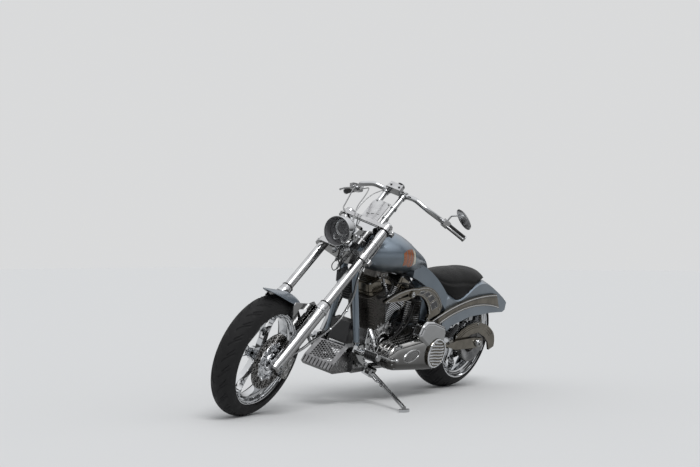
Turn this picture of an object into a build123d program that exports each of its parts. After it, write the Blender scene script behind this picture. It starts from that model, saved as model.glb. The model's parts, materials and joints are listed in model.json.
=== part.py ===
from build123d import *
from math import cos, radians, sin, sqrt, tan
import os

# A long, raked custom motorcycle standing on its side stand.
# Every piece is drawn upright and straight ahead: X forward, Y to the left, Z up, millimetres,
# with the ground under the rear axle as origin. At the end the steered pieces are turned with the
# fork and all of them lean over until both tyres and the stand's foot touch the ground.

# Stance
wheelbase = 1780.0
rake = 45.0
fork_offset = 50.0
steer_at_rest = 10.0
lean_at_rest = 14.0

# Wheels
front_radius = 320.0
front_crown = 65.0
front_seat_half_width = 46.0
rear_radius = 328.0
rear_crown = 125.0
rear_seat_half_width = 104.0
flange_radius = 245.0
flange_width = 7.0
flange_height = 9.0
spoke_count = 5
axle_radius = 12.5
axle_fit = 0.05
front_disc_radius = 146.0
front_disc_y = 78.0
rear_disc_radius = 146.0
rear_disc_y = -150.0
disc_thickness = 5.0
pulley_radius = 125.0
pulley_width = 30.0
pulley_y = 152.0
moving_gap = 6.0

# Fork
leg_spacing = 242.0
slider_radius = 32.0
slider_top = 415.0
leg_radius = 24.0
sleeve_radius = 27.0
leg_top = 1006.0
lower_tree_base = 735.0
lower_tree_height = 30.0
upper_tree_base = 955.0
upper_tree_height = 24.0
tree_pad = 12.0
stem_radius = 14.0
stem_boss = 32.0
riser_spacing = 104.0
riser_radius = 15.0
riser_top = 1238.0
bar_radius = 14.0
grip_radius = 17.0

# Frame
neck_radius = 31.0
tube_radius = 17.5
cradle_z = 225.0
cradle_y = 100.0
swingarm_y = 188.0
swingarm_pivot = (364.0, 330.0)
pivot_radius = 22.0
seat_gap = 0.3

# Engine
crank = (836.0, 340.0)
cylinder_angle = 22.5
cylinder_pitch = 9.0
case_half_width = 82.0


def side_plane(y):
    """Plane parallel to the bike's middle plane: X forward, Z up, extrusions go to the right."""
    return Plane(origin=(0, y, 0), x_dir=(1, 0, 0), z_dir=(0, -1, 0))


def wheel_plane(axle_x, axle_z):
    """Half-section plane of a wheel: local x is lateral, local y is the radius."""
    return Plane(origin=(axle_x, 0, axle_z), x_dir=(0, 1, 0), z_dir=(1, 0, 0))


def route(*points, radius):
    """Straight runs joined by tangent arcs."""
    with BuildLine() as line:
        FilletPolyline(*points, radius=radius)
    return line.wires()[0]


def section_plane(path):
    """Plane across the start of a path."""
    return Plane(origin=path @ 0, z_dir=path % 0)


def cable_route(name, points):
    """A route whose arcs are as large as its runs allow: each takes 0.45 of the shorter run beside it."""
    spots = [Vector(*point) for point in points]
    radii = []
    for before, corner, after in zip(spots, spots[1:], spots[2:]):
        turn = (corner - before).get_angle(after - corner)
        shorter = min((corner - before).length, (after - corner).length)
        radii.append(0.45 * shorter / tan(radians(turn / 2)))
    print("radii", name, *(round(radius) for radius in radii))
    return route(*points, radius=radii)


front_axle = (wheelbase, 0.0, front_radius)
along = Vector(-sin(radians(rake)), 0, cos(radians(rake)))
ahead = Vector(cos(radians(rake)), 0, sin(radians(rake)))
steer_foot = Vector(*front_axle) - ahead * fork_offset
steering_axis = Axis(steer_foot, along)


def fork_plane(height, forward=0.0):
    """Plane across the fork, so far up the legs from the axle: local x forward, local y left."""
    return Plane(origin=Vector(*front_axle) + along * height + ahead * forward, x_dir=ahead, z_dir=along)


def fork_point(forward, left, height):
    spot = Vector(*front_axle) + ahead * forward + along * height
    return (spot.X, left, spot.Z)


def settle():
    """Pitch and lift that put both leaning tyres on the ground, found by halving."""
    def heights(pitch):
        def leaned(vector):
            return vector.rotate(Axis.Y, pitch).rotate(Axis.X, -lean_at_rest)
        rear = leaned(Vector(0, 0, rear_radius))
        rear_axle = leaned(Vector(0, 1, 0))
        arm = (Vector(*front_axle) - steer_foot).rotate(Axis((0, 0, 0), along), steer_at_rest)
        front = leaned(steer_foot + arm)
        front_axle_way = leaned(Vector(0, 1, 0).rotate(Axis((0, 0, 0), along), steer_at_rest))
        rear_low = rear.Z - (rear_radius - rear_crown) * sqrt(1 - rear_axle.Z ** 2) - rear_crown
        front_low = front.Z - (front_radius - front_crown) * sqrt(1 - front_axle_way.Z ** 2) - front_crown
        return rear_low, front_low
    low, high = -5.0, 5.0
    for _ in range(50):
        middle = (low + high) / 2
        rear_low, front_low = heights(middle)
        if front_low > rear_low:
            low = middle
        else:
            high = middle
    return low, -heights(low)[0]


pitch_at_rest, lift_at_rest = settle()
leaned_x = Vector(1, 0, 0).rotate(Axis.Y, pitch_at_rest).rotate(Axis.X, -lean_at_rest)
leaned_z = Vector(0, 0, 1).rotate(Axis.Y, pitch_at_rest).rotate(Axis.X, -lean_at_rest)
leaning = Plane(origin=(0, 0, lift_at_rest), x_dir=leaned_x, z_dir=leaned_z).location
turned_ahead = ahead.rotate(Axis((0, 0, 0), along), steer_at_rest)
straight_stem = Plane(origin=steer_foot, x_dir=ahead, z_dir=along).location
turned_stem = Plane(origin=steer_foot, x_dir=turned_ahead, z_dir=along).location
steered = leaning * turned_stem * straight_stem.inverse()
ground = Plane(leaning.inverse())

pieces = []


def finish(builder, name, place=leaning):
    builder.part.label = name
    pieces.append((builder.part, place))


# Wheels: tyre, rim with forked spokes, hub, disc and pulley
wheels = [
    # name, axle x, axle z, radius, crown radius, half width of the seat, spoke width at the hub and rim
    ("front", wheelbase, front_radius, front_radius, front_crown, front_seat_half_width, 52.0, 96.0),
    ("rear", 0.0, rear_radius, rear_radius, rear_crown, rear_seat_half_width, 60.0, 104.0),
]
seat_radius = flange_radius - flange_height
well_radius = 214.0
rim_inside = 208.0
hub_radius = 42.0
spoke_depth = 34.0

for name, axle_x, axle_z, radius, crown, half_seat, root, tip in wheels:
    axis = Axis((axle_x, 0, axle_z), (0, 1, 0))
    place = steered if name == "front" else leaning
    sidewall = sqrt(crown ** 2 - (radius - crown - flange_radius) ** 2)
    with BuildPart() as tyre:
        with BuildSketch(wheel_plane(axle_x, axle_z)):
            with BuildLine():
                ThreePointArc((-sidewall, flange_radius), (0, radius), (sidewall, flange_radius))
                Polyline((sidewall, flange_radius), (half_seat, flange_radius), (half_seat, seat_radius),
                         (-half_seat, seat_radius), (-half_seat, flange_radius), (-sidewall, flange_radius))
            make_face()
        revolve(axis=axis)
    finish(tyre, name + "_tyre", place)

    edge = half_seat + flange_width
    step = half_seat - 12.0
    with BuildPart() as rim:
        with BuildSketch(wheel_plane(axle_x, axle_z)):
            with BuildLine():
                Polyline((edge, flange_radius), (half_seat, flange_radius), (half_seat, seat_radius),
                         (step, seat_radius), (step - 10, well_radius), (-step + 10, well_radius),
                         (-step, seat_radius), (-half_seat, seat_radius), (-half_seat, flange_radius),
                         (-edge, flange_radius), (-edge, flange_radius - 14), (-half_seat, flange_radius - 16),
                         (-step, 221), (-step + 16, rim_inside), (step - 16, rim_inside), (step, 221),
                         (half_seat, flange_radius - 16), (edge, flange_radius - 14), (edge, flange_radius))
            make_face()
        revolve(axis=axis)
        with BuildSketch(Plane(origin=(axle_x, 0, axle_z), x_dir=(1, 0, 0), z_dir=(0, -1, 0))):
            with PolarLocations(0, spoke_count, start_angle=18 if name == "front" else 40):
                with BuildLine():
                    Polyline((hub_radius - 12, -root / 2), (130, -root / 2 + 6), (rim_inside + 3, -tip / 2),
                             (rim_inside + 3, tip / 2), (130, root / 2 - 6), (hub_radius - 12, root / 2), close=True)
                make_face()
                with BuildLine():
                    Polyline((128, 0), (196, -tip / 2 + 20), (201, 0), (196, tip / 2 - 20), close=True)
                make_face(mode=Mode.SUBTRACT)
        extrude(amount=spoke_depth / 2, both=True)
        with BuildSketch(Plane(origin=(axle_x, 0, axle_z), x_dir=(1, 0, 0), z_dir=(0, -1, 0))):
            Circle(hub_radius)
        extrude(amount=half_seat, both=True)
        with BuildSketch(Plane(origin=(axle_x, 0, axle_z), x_dir=(1, 0, 0), z_dir=(0, -1, 0))):
            Circle(axle_radius + axle_fit)
        extrude(amount=half_seat + 1, both=True, mode=Mode.SUBTRACT)
    finish(rim, name + "_wheel", place)

# Brake discs, each a drilled ring on a dished carrier that seats on the hub's end
discs = [
    # name, axle x, axle z, side, hub end, disc centre, radius
    ("front_disc", wheelbase, front_radius, 1, front_seat_half_width, front_disc_y, front_disc_radius, steered),
    ("rear_disc", 0.0, rear_radius, -1, rear_seat_half_width, -rear_disc_y, rear_disc_radius, leaning),
]
for name, axle_x, axle_z, side, hub_end, middle, radius, place in discs:
    outer = middle + disc_thickness / 2
    inner = middle - disc_thickness / 2
    with BuildPart() as disc:
        with BuildSketch(wheel_plane(axle_x, axle_z)):
            with BuildLine():
                Polyline((side * hub_end, axle_radius + 2), (side * hub_end, 56), (side * inner, 72),
                         (side * inner, radius), (side * outer, radius), (side * outer, 66),
                         (side * (hub_end + 9), 50), (side * (hub_end + 9), axle_radius + 2), close=True)
            make_face()
        revolve(axis=Axis((axle_x, 0, axle_z), (0, 1, 0)))
        with BuildSketch(Plane(origin=(axle_x, side * (outer + 1), axle_z), x_dir=(1, 0, 0), z_dir=(0, -side, 0))):
            with PolarLocations(122, 12):
                Circle(5)
            with PolarLocations(104, 12, start_angle=15):
                Circle(5)
        extrude(amount=disc_thickness + 2, mode=Mode.SUBTRACT)
    finish(disc, name, place)

with BuildPart() as rear_pulley:
    with BuildSketch(wheel_plane(0, rear_radius)):
        with BuildLine():
            Polyline((rear_seat_half_width, axle_radius + 2), (rear_seat_half_width, 60), (pulley_y - 8, 74),
                     (pulley_y - pulley_width / 2, pulley_radius - 10), (pulley_y - pulley_width / 2, pulley_radius),
                     (pulley_y + pulley_width / 2, pulley_radius), (pulley_y + pulley_width / 2, pulley_radius - 10),
                     (pulley_y, 70), (rear_seat_half_width + 12, 50), (rear_seat_half_width + 12, axle_radius + 2),
                     close=True)
        make_face()
    revolve(axis=Axis((0, 0, rear_radius), (0, 1, 0)))
finish(rear_pulley, "rear_pulley")

# Axles
with BuildPart() as front_axle_rod:
    with BuildSketch(side_plane(leg_spacing / 2 + slider_radius + 8)):
        with Locations((wheelbase, front_radius)):
            Circle(axle_radius)
    extrude(amount=leg_spacing + 2 * slider_radius + 16)
finish(front_axle_rod, "front_axle", steered)

arm_thickness = 26.0
arm_outside = swingarm_y + arm_thickness / 2
nut_radius = 19.0
nut_depth = 12.0
pin_radius = 11.0
pin_length = 14.0
with BuildPart() as rear_axle_rod:
    with BuildSketch(side_plane(arm_outside)):
        with Locations((0, rear_radius)):
            Circle(axle_radius)
    extrude(amount=2 * arm_outside)
    for side in (1, -1):
        with BuildSketch(side_plane(side * arm_outside)):
            with Locations((0, rear_radius)):
                RegularPolygon(nut_radius, 6)
        extrude(amount=-side * nut_depth)
        with BuildSketch(side_plane(side * (arm_outside + nut_depth))):
            with Locations((0, rear_radius)):
                Circle(pin_radius)
        extrude(amount=-side * pin_length)
finish(rear_axle_rod, "rear_axle")

# Fork legs: chrome slider, tube, sleeve and domed cap in one turned profile
lower_tree_top = lower_tree_base + lower_tree_height
sleeve_ring = lower_tree_top + 87.0
upper_tree_top = upper_tree_base + upper_tree_height
with BuildPart() as fork_legs:
    for side in (1, -1):
        leg_plane = Plane(origin=fork_point(0, side * leg_spacing / 2, 0), x_dir=ahead, z_dir=(0, -1, 0))
        with BuildSketch(leg_plane):
            with BuildLine():
                Polyline((0, -34), (22, -34), (30, -26), (slider_radius, 20), (slider_radius, slider_top - 22),
                         (slider_radius - 3, slider_top), (leg_radius, slider_top), (leg_radius, lower_tree_top),
                         (sleeve_radius, lower_tree_top), (sleeve_radius, sleeve_ring),
                         (sleeve_radius + 3, sleeve_ring + 2), (sleeve_radius + 3, sleeve_ring + 12),
                         (sleeve_radius, sleeve_ring + 14),
                         (sleeve_radius, upper_tree_base - 6), (leg_radius, upper_tree_base - 6),
                         (leg_radius, upper_tree_top), (leg_radius + 3, upper_tree_top),
                         (leg_radius + 3, leg_top - 9), (leg_radius - 9, leg_top),
                         (0, leg_top), close=True)
            make_face()
        revolve(axis=Axis(fork_point(0, side * leg_spacing / 2, 0), along))
    with BuildSketch(side_plane(leg_spacing / 2 + slider_radius + 1)):
        with Locations((wheelbase, front_radius)):
            Circle(axle_radius + axle_fit)
    extrude(amount=leg_spacing + 2 * slider_radius + 2, mode=Mode.SUBTRACT)
finish(fork_legs, "fork_legs", steered)

# Fork trees: the lower one carries the stem that turns in the neck, the upper one has pinch clamps
trees = [
    # base, height
    (lower_tree_base, lower_tree_height),
    (upper_tree_base, upper_tree_height),
]
clamp_reach = 50.0
clamp_width = 30.0
with BuildPart() as fork_trees:
    for base, height in trees:
        with BuildSketch(fork_plane(base)):
            with Locations((0, leg_spacing / 2), (0, -leg_spacing / 2)):
                Circle(leg_radius + tree_pad)
            with Locations((-fork_offset, 0)):
                Circle(stem_boss)
            make_hull()
        extrude(amount=height)
        for side in (1, -1):
            with BuildSketch(fork_plane(base + 2)):
                with Locations((-12, side * (leg_spacing / 2 + clamp_reach / 2))):
                    RectangleRounded(clamp_width, clamp_reach, 8)
            extrude(amount=height - 4)
    with BuildSketch(fork_plane(lower_tree_base)):
        with Locations((0, leg_spacing / 2), (0, -leg_spacing / 2)):
            Circle(leg_radius + axle_fit)
    extrude(amount=upper_tree_top - lower_tree_base, mode=Mode.SUBTRACT)
    with BuildSketch(fork_plane(lower_tree_top, -fork_offset)):
        Circle(stem_radius)
    extrude(amount=upper_tree_base - lower_tree_top)
finish(fork_trees, "fork_trees", steered)

# Headlight: deep hooded bucket, lens and its bracket
lamp_forward = 128.0
lamp_height = 784.0
lamp_centre = fork_point(lamp_forward, 0, lamp_height)[::2]
lamp_radius = 78.0
lamp_depth = 120.0
hood_depth = 62.0
with BuildPart() as headlight:
    lamp_plane = Plane(origin=(lamp_centre[0], 0, lamp_centre[1]), x_dir=(0, 0, 1), z_dir=(0, 1, 0))
    with BuildSketch(lamp_plane):
        with BuildLine():
            Polyline((0, -lamp_depth + hood_depth), (34, -lamp_depth + hood_depth), (62, -40), (lamp_radius - 4, 0),
                     (lamp_radius, 4), (lamp_radius, hood_depth), (lamp_radius - 4, hood_depth), (lamp_radius - 8, 6),
                     (0, 6), close=True)
        make_face()
    revolve(axis=Axis((lamp_centre[0], 0, lamp_centre[1]), (1, 0, 0)))
finish(headlight, "headlight", steered)

lens_radius = lamp_radius - 9.0
lens_edge = 4.0
lens_top = 22.0
lens_curve = (lens_radius ** 2 + (lens_top - lens_edge) ** 2) / (2 * (lens_top - lens_edge))
lens_middle = lens_top - lens_curve + sqrt(lens_curve ** 2 - (lens_radius / 2) ** 2)
with BuildPart() as headlight_lens:
    with BuildSketch(Plane(origin=(lamp_centre[0] + 6, 0, lamp_centre[1]), x_dir=(0, 0, 1), z_dir=(0, 1, 0))):
        with BuildLine():
            Polyline((0, lens_top), (0, 0), (lens_radius, 0), (lens_radius, lens_edge))
            ThreePointArc((lens_radius, lens_edge), (lens_radius / 2, lens_middle), (0, lens_top))
        make_face()
    revolve(axis=Axis((lamp_centre[0], 0, lamp_centre[1]), (1, 0, 0)))
finish(headlight_lens, "headlight_lens", steered)

# Fork cover: the polished plate between the legs, with the ears that hold the headlight
cover_back = 22.0
cover_front = cover_back + 5.0
cover_foot = lower_tree_top + 56.0
cover_head = upper_tree_base - seat_gap
cover_half_top = leg_spacing / 2 - sleeve_radius - 3.3
cover_half_foot = 58.0
notch_radius = 17.0
ear_y = lamp_radius + 10.0
ear_thickness = 6.0
lamp_pin = (lamp_centre[0] + 4, lamp_centre[1])
ear_holes = [
    # distance behind the lamp's pin, and below it
    (30.0, -1.0),
    (58.0, 7.0),
    (90.0, 19.0),
]
with BuildPart() as fork_cover:
    with BuildSketch(Plane(origin=fork_point(cover_back, 0, 0), x_dir=(0, 1, 0), z_dir=ahead)):
        with BuildLine():
            Polyline((-cover_half_foot, cover_foot), (cover_half_foot, cover_foot),
                     (cover_half_top - 8, cover_foot + 74), (cover_half_top, cover_head), (-cover_half_top, cover_head),
                     (8 - cover_half_top, cover_foot + 74), close=True)
        make_face()
        with Locations((-cover_half_top, cover_head - 24), (cover_half_top, cover_head - 24)):
            Circle(notch_radius, mode=Mode.SUBTRACT)
        with Locations((0, cover_foot + 64)):
            RectangleRounded(56, 60, 20, mode=Mode.SUBTRACT)
        with Locations((0, lower_tree_top + seat_gap + 30)):
            Rectangle(60, 60)
    extrude(amount=cover_front - cover_back)
    with BuildSketch(Plane(origin=fork_point(cover_front, 0, cover_head - 4), x_dir=(0, 1, 0), z_dir=along)):
        with Locations((0, 12)):
            Rectangle(2 * cover_half_top, 34)
    extrude(amount=4)
    for outer_y in (ear_y, -ear_y + ear_thickness):
        with BuildSketch(side_plane(outer_y)):
            with BuildLine():
                Polyline(fork_point(cover_back + 1, 0, lamp_height + 28)[::2], (lamp_pin[0], lamp_pin[1] - 29),
                         (lamp_pin[0] + 26, lamp_pin[1] - 13), (lamp_pin[0] + 26, lamp_pin[1] + 17),
                         (lamp_pin[0], lamp_pin[1] + 33), (lamp_pin[0] - 60, lamp_pin[1] + 31),
                         fork_point(cover_back + 1, 0, lamp_height + 136)[::2], close=True)
            make_face()
            for back, drop in ear_holes:
                with Locations((lamp_pin[0] - back, lamp_pin[1] - drop)):
                    Circle(9, mode=Mode.SUBTRACT)
        extrude(amount=ear_thickness)
    for side in (1, -1):
        with BuildSketch(side_plane(side * (lamp_radius + seat_gap))):
            with Locations(lamp_pin):
                Circle(14)
        extrude(amount=-side * (ear_y - ear_thickness - lamp_radius))
finish(fork_cover, "fork_cover", steered)

# Risers with collars, and the slotted instrument plate between them
with BuildPart() as risers:
    for side in (1, -1):
        with BuildSketch(fork_plane(upper_tree_top, -fork_offset + 6)):
            with Locations((0, side * riser_spacing / 2)):
                Circle(riser_radius)
        extrude(amount=riser_top - upper_tree_top)
        for height in (upper_tree_top, 1060, 1140, riser_top - 14):
            with BuildSketch(fork_plane(height, -fork_offset + 6)):
                with Locations((0, side * riser_spacing / 2)):
                    Circle(riser_radius + 4)
            extrude(amount=14)
finish(risers, "risers", steered)

# Handlebar, grips, switch housings, levers and mirrors
bar_height = riser_top + bar_radius
bar_centre = fork_point(-fork_offset + 6, 0, bar_height)
bar_points = [
    (bar_centre[0], 0.0, bar_centre[2]),
    (bar_centre[0], 84.0, bar_centre[2]),
    (bar_centre[0] + 22, 134.0, bar_centre[2] + 6),
    (bar_centre[0] + 8, 222.0, bar_centre[2] - 26),
    (bar_centre[0] - 88, 262.0, bar_centre[2] - 64),
    (bar_centre[0] - 166, 390.0, bar_centre[2] - 126),
]
grip_length = 112.0
bar_end = Vector(*bar_points[-1])
grip_way = (bar_end - Vector(*bar_points[-2])).normalized()
half_bar = route((bar_centre[0], -1.0, bar_centre[2]), *bar_points[1:], radius=[50, 60, 50, 36])
with BuildPart() as handlebar:
    with BuildSketch(section_plane(half_bar)):
        Circle(bar_radius)
    sweep(path=half_bar)
    mirror(about=Plane.XZ)
finish(handlebar, "handlebar", steered)

grip_start = bar_end - grip_way * grip_length
with BuildPart() as grips:
    with BuildSketch(Plane(origin=grip_start, z_dir=grip_way)):
        Circle(grip_radius)
        Circle(bar_radius + axle_fit, mode=Mode.SUBTRACT)
    extrude(amount=grip_length)
    with BuildSketch(Plane(origin=bar_end, z_dir=grip_way)):
        Circle(grip_radius + 2)
    extrude(amount=8)
    mirror(about=Plane.XZ)
finish(grips, "grips", steered)

switch_length = 34.0
switch_start = grip_start - grip_way * (switch_length + 0.5)
switch_plane = Plane(origin=switch_start, x_dir=Vector(0, 0, 1).cross(grip_way), z_dir=grip_way)
grip_ahead = switch_plane.x_dir * -1
grip_above = switch_plane.y_dir
lever_root = switch_start + grip_way * 17 + grip_ahead * 38
lever_bend = lever_root + grip_way * 46 + grip_ahead * 16
lever_tip = lever_root + grip_way * 118 + grip_ahead * 10
lever_path = route(tuple(lever_root), tuple(lever_bend), tuple(lever_tip), radius=60)
with BuildPart() as hand_controls:
    with BuildSketch(switch_plane):
        RectangleRounded(44, 40, 10)
        Circle(bar_radius + axle_fit, mode=Mode.SUBTRACT)
    extrude(amount=switch_length)
    with BuildSketch(switch_plane):
        with Locations((-32, 8)):
            RectangleRounded(30, 34, 6)
    extrude(amount=switch_length)
    with BuildSketch(section_plane(lever_path)):
        RectangleRounded(9, 14, 4)
    sweep(path=lever_path)
    mirror(about=Plane.XZ)
finish(hand_controls, "hand_controls", steered)

with BuildPart() as mirror_left:
    stem_foot = switch_start + grip_way * 16 + grip_above * (20 + seat_gap)
    stem = route(tuple(stem_foot), tuple(stem_foot + grip_above * 34),
                 (stem_foot.X - 8, stem_foot.Y + 62, stem_foot.Z + 52), radius=18)
    with BuildSketch(section_plane(stem)):
        Circle(5)
    sweep(path=stem)
    head = Vector(stem_foot.X - 8, stem_foot.Y + 88, stem_foot.Z + 38)
    with BuildSketch(Plane(origin=head + Vector(8, 0, 0), x_dir=(0, 1, -0.75), z_dir=(-1, 0.1, 0.1))):
        Ellipse(64, 26)
    extrude(amount=16, taper=18)
finish(mirror_left, "mirror_left", steered)

# Instruments: the slotted plate between the risers, and the gauge on the bar
plate_top = 1152.0
plate_left = 34.0
plate_right = -66.0
plate_slots = [
    # distance to the left, height above the plate's foot
    (-42.0, 62.0),
    (-16.0, 70.0),
    (10.0, 78.0),
]
plate_front = -fork_offset + 6 + riser_radius + 4 + seat_gap
gauge_depth = 44.0
gauge_back = -fork_offset + 6 + bar_radius + seat_gap
with BuildPart() as instruments:
    with BuildSketch(Plane(origin=fork_point(plate_front, 0, upper_tree_top), x_dir=(0, 1, 0), z_dir=ahead)):
        with BuildLine():
            Polyline((plate_right, 0), (plate_left, 0), (plate_left, plate_top - upper_tree_top),
                     (plate_right + 14, plate_top - upper_tree_top), (plate_right, plate_top - upper_tree_top - 24),
                     close=True)
        make_face()
        with Locations(*plate_slots):
            SlotOverall(18, 6, rotation=12, mode=Mode.SUBTRACT)
    extrude(amount=5)
    with BuildSketch(Plane(origin=fork_point(gauge_back + gauge_depth / 2, 0, bar_height - 20), x_dir=(0, 1, 0),
                           z_dir=along)):
        RectangleRounded(92, gauge_depth, 10)
    extrude(amount=46, taper=8)
finish(instruments, "instruments", steered)

# Front fender: a short pointed blade that follows the tyre
fender_top = [
    # distance ahead of the axle and height above the tyre's top, from the tip back
    (120.0, 44.0),
    (-128.0, 6.0),
    (-218.0, -56.0),
]
fender_half_width = 84.0
fender_drop = 34.0
fender_thickness = 3.0
blade_path = route(*[(wheelbase + x, 0.0, 2 * front_radius + z) for x, z in fender_top], radius=180)
with BuildPart() as front_fender:
    with BuildSketch(Plane(origin=blade_path @ 0, x_dir=(0, 1, 0), z_dir=blade_path % 0)):
        with BuildLine():
            outer_arc = ThreePointArc((-fender_half_width, fender_drop), (0, 0), (fender_half_width, fender_drop))
            inner_arc = ThreePointArc((-fender_half_width + 2, fender_drop), (0, fender_thickness),
                                      (fender_half_width - 2, fender_drop))
            Line(outer_arc @ 0, inner_arc @ 0)
            Line(outer_arc @ 1, inner_arc @ 1)
        make_face()
    sweep(path=blade_path)
    with BuildSketch(Plane(origin=(wheelbase, 0, front_radius + 130))):
        with BuildLine():
            left_edge = ThreePointArc((122, 0), (50, 50), (-58, fender_half_width))
            left_side = ThreePointArc(left_edge @ 1, (-140, fender_half_width - 2), (-240, 40))
            right_side = ThreePointArc((-240, -40), (-140, 2 - fender_half_width), (-58, -fender_half_width))
            ThreePointArc(right_side @ 1, (50, -50), (122, 0))
            Line(left_side @ 1, right_side @ 0)
        make_face()
    extrude(amount=400, mode=Mode.INTERSECT)
finish(front_fender, "front_fender", steered)

# Fender brackets: slotted plates from the sliders to the blade
bracket_y = leg_spacing / 2 - slider_radius - 0.3
bracket_inner = fender_half_width + 0.2
with BuildPart() as fender_brackets:
    for outer_y in (bracket_y, -bracket_inner):
        with BuildSketch(side_plane(outer_y)):
            with BuildLine():
                Polyline(fork_point(-16, 0, 250)[::2], fork_point(-16, 0, 392)[::2], fork_point(47, 0, 380)[::2],
                         fork_point(72, 0, 345)[::2], fork_point(176, 0, 262)[::2], fork_point(172, 0, 238)[::2],
                         fork_point(64, 0, 200)[::2], close=True)
            make_face()
            with BuildLine():
                Polyline(fork_point(52, 0, 236)[::2], fork_point(52, 0, 322)[::2], fork_point(112, 0, 272)[::2],
                         fork_point(112, 0, 254)[::2], close=True)
            make_face(mode=Mode.SUBTRACT)
        extrude(amount=bracket_y - bracket_inner)
finish(fender_brackets, "fender_brackets", steered)

# Front caliper, behind the left leg, straddling the disc
caliper_slot = disc_thickness + 2 * moving_gap
with BuildPart() as front_caliper:
    caliper_plane = Plane(origin=(wheelbase, front_disc_y + 34, front_radius), x_dir=(1, 0, 0), z_dir=(0, -1, 0))
    caliper_depth = 34 + caliper_slot / 2 + 10
    with BuildSketch(caliper_plane):
        with Locations((Pos(0, 0) * Rot(0, 0, 196))):
            with Locations((132, 0)):
                RectangleRounded(56, 116, 12)
    extrude(amount=caliper_depth)
    with BuildSketch(Plane(origin=(wheelbase, front_disc_y + caliper_slot / 2, front_radius), x_dir=(1, 0, 0),
                           z_dir=(0, -1, 0))):
        Circle(front_disc_radius + moving_gap)
    extrude(amount=caliper_slot, mode=Mode.SUBTRACT)
    with BuildSketch(side_plane(leg_spacing / 2 - 9)):
        with BuildLine():
            Polyline(fork_point(0, 0, 40)[::2], fork_point(0, 0, 150)[::2], (wheelbase - 150, front_radius + 20),
                     (wheelbase - 108, front_radius - 60), close=True)
        make_face()
    extrude(amount=12)
    add(fork_legs.part, mode=Mode.SUBTRACT)
    with BuildSketch(side_plane(leg_spacing / 2 + 60)):
        with Locations((wheelbase, front_radius)):
            Circle(44)
    extrude(amount=70, mode=Mode.SUBTRACT)
finish(front_caliper, "front_caliper", steered)

# Brake hose and wheel sensor wire: from under the upper tree, in a loose bow behind the left leg, to the caliper
hose_points = [
    # forward of the legs, to the left, up the legs from the axle
    (-32.0, 129.0, 958.0),
    (-39.0, 129.0, 926.0),
    (-51.0, 129.0, 893.0),
    (-57.0, 128.0, 855.0),
    (-58.0, 126.0, 812.0),
    (-60.0, 124.0, 770.0),
    (-68.0, 122.0, 727.0),
    (-98.0, 120.0, 691.0),
    (-134.0, 118.0, 668.0),
    (-173.0, 116.0, 645.0),
    (-205.0, 114.0, 606.0),
    (-225.0, 113.0, 559.0),
    (-232.0, 112.0, 511.0),
    (-225.0, 112.0, 463.0),
    (-213.0, 112.0, 414.0),
    (-197.0, 112.0, 369.0),
    (-178.0, 112.0, 328.0),
    (-158.0, 112.0, 292.0),
    (-141.0, 112.0, 255.0),
    (-130.0, 111.0, 216.0),
    (-114.0, 108.0, 179.0),
    (-99.0, 105.0, 147.0),
    (-84.0, 102.0, 112.0),
]
hoses = [
    # shift forward, shift to the left, radius
    (0.0, 0.0, 4.0),
    (2.0, -8.6, 2.8),
]
with BuildPart() as front_hoses:
    for shift_forward, shift_left, radius in hoses:
        path = cable_route("front_hoses", [fork_point(forward + shift_forward, left + shift_left, height)
                                           for forward, left, height in hose_points])
        with BuildSketch(section_plane(path)):
            Circle(radius)
        sweep(path=path)
    add(fork_trees.part, mode=Mode.SUBTRACT)
    add(front_caliper.part, mode=Mode.SUBTRACT)
finish(front_hoses, "front_hoses", steered)

# Hand cables: they gather in front of the fork cover and go down to the lower tree and the headlight
hand_cable_runs = [
    # name, radius, points: forward of the legs, to the left, up the legs from the axle
    ("brake", 3.5, [(-139, -295, 1258), (-118, -274, 1246), (-90, -258, 1204), (-68, -238, 1152), (-50, -218, 1098),
                    (-28, -196, 1046), (8, -170, 1002), (40, -140, 968), (54, -104, 942), (64, -68, 908),
                    (68, -42, 868), (62, -27, 828), (46, -18, 794), (32, -14, 763)]),
    ("switch", 3.0, [(-162.6, -279, 1250.2), (-142, -258, 1234), (-101, -222, 1229), (-61, -182, 1212),
                     (-20, -146, 1193), (16, -116, 1172), (37, -96, 1142), (47, -84, 1102), (55, -76, 1056),
                     (63, -70, 1014), (65, -60, 973), (60, -42, 934), (64, -22, 894), (64, -8, 852), (54, 2, 812),
                     (39, 8, 782), (32, 10, 763)]),
    ("gauge", 2.5, [(4, -30, 1236), (15, -31, 1205), (33, -34, 1172), (51, -40, 1136), (64, -46, 1097),
                    (70, -50, 1055), (73, -52, 1012), (73, -50, 970), (77, -41, 931), (79, -24, 893),
                    (75, -12, 861), (82, -4, 835), (94, 0, 820)]),
]
with BuildPart() as hand_cables:
    for name, radius, points in hand_cable_runs:
        path = cable_route(name, [fork_point(*point) for point in points])
        with BuildSketch(section_plane(path)):
            Circle(radius)
        sweep(path=path)
    add(fork_trees.part, mode=Mode.SUBTRACT)
    add(hand_controls.part, mode=Mode.SUBTRACT)
    add(instruments.part, mode=Mode.SUBTRACT)
    add(headlight.part, mode=Mode.SUBTRACT)
finish(hand_cables, "hand_cables", steered)

# Frame: neck, backbone, down tubes, cradle rails and cross members
neck_base = lower_tree_top + moving_gap
neck_top = upper_tree_base - moving_gap
with BuildPart() as neck:
    with BuildSketch(fork_plane(neck_base, -fork_offset)):
        Circle(neck_radius)
        Circle(stem_radius + axle_fit, mode=Mode.SUBTRACT)
    extrude(amount=neck_top - neck_base)
finish(neck, "neck")

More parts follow.
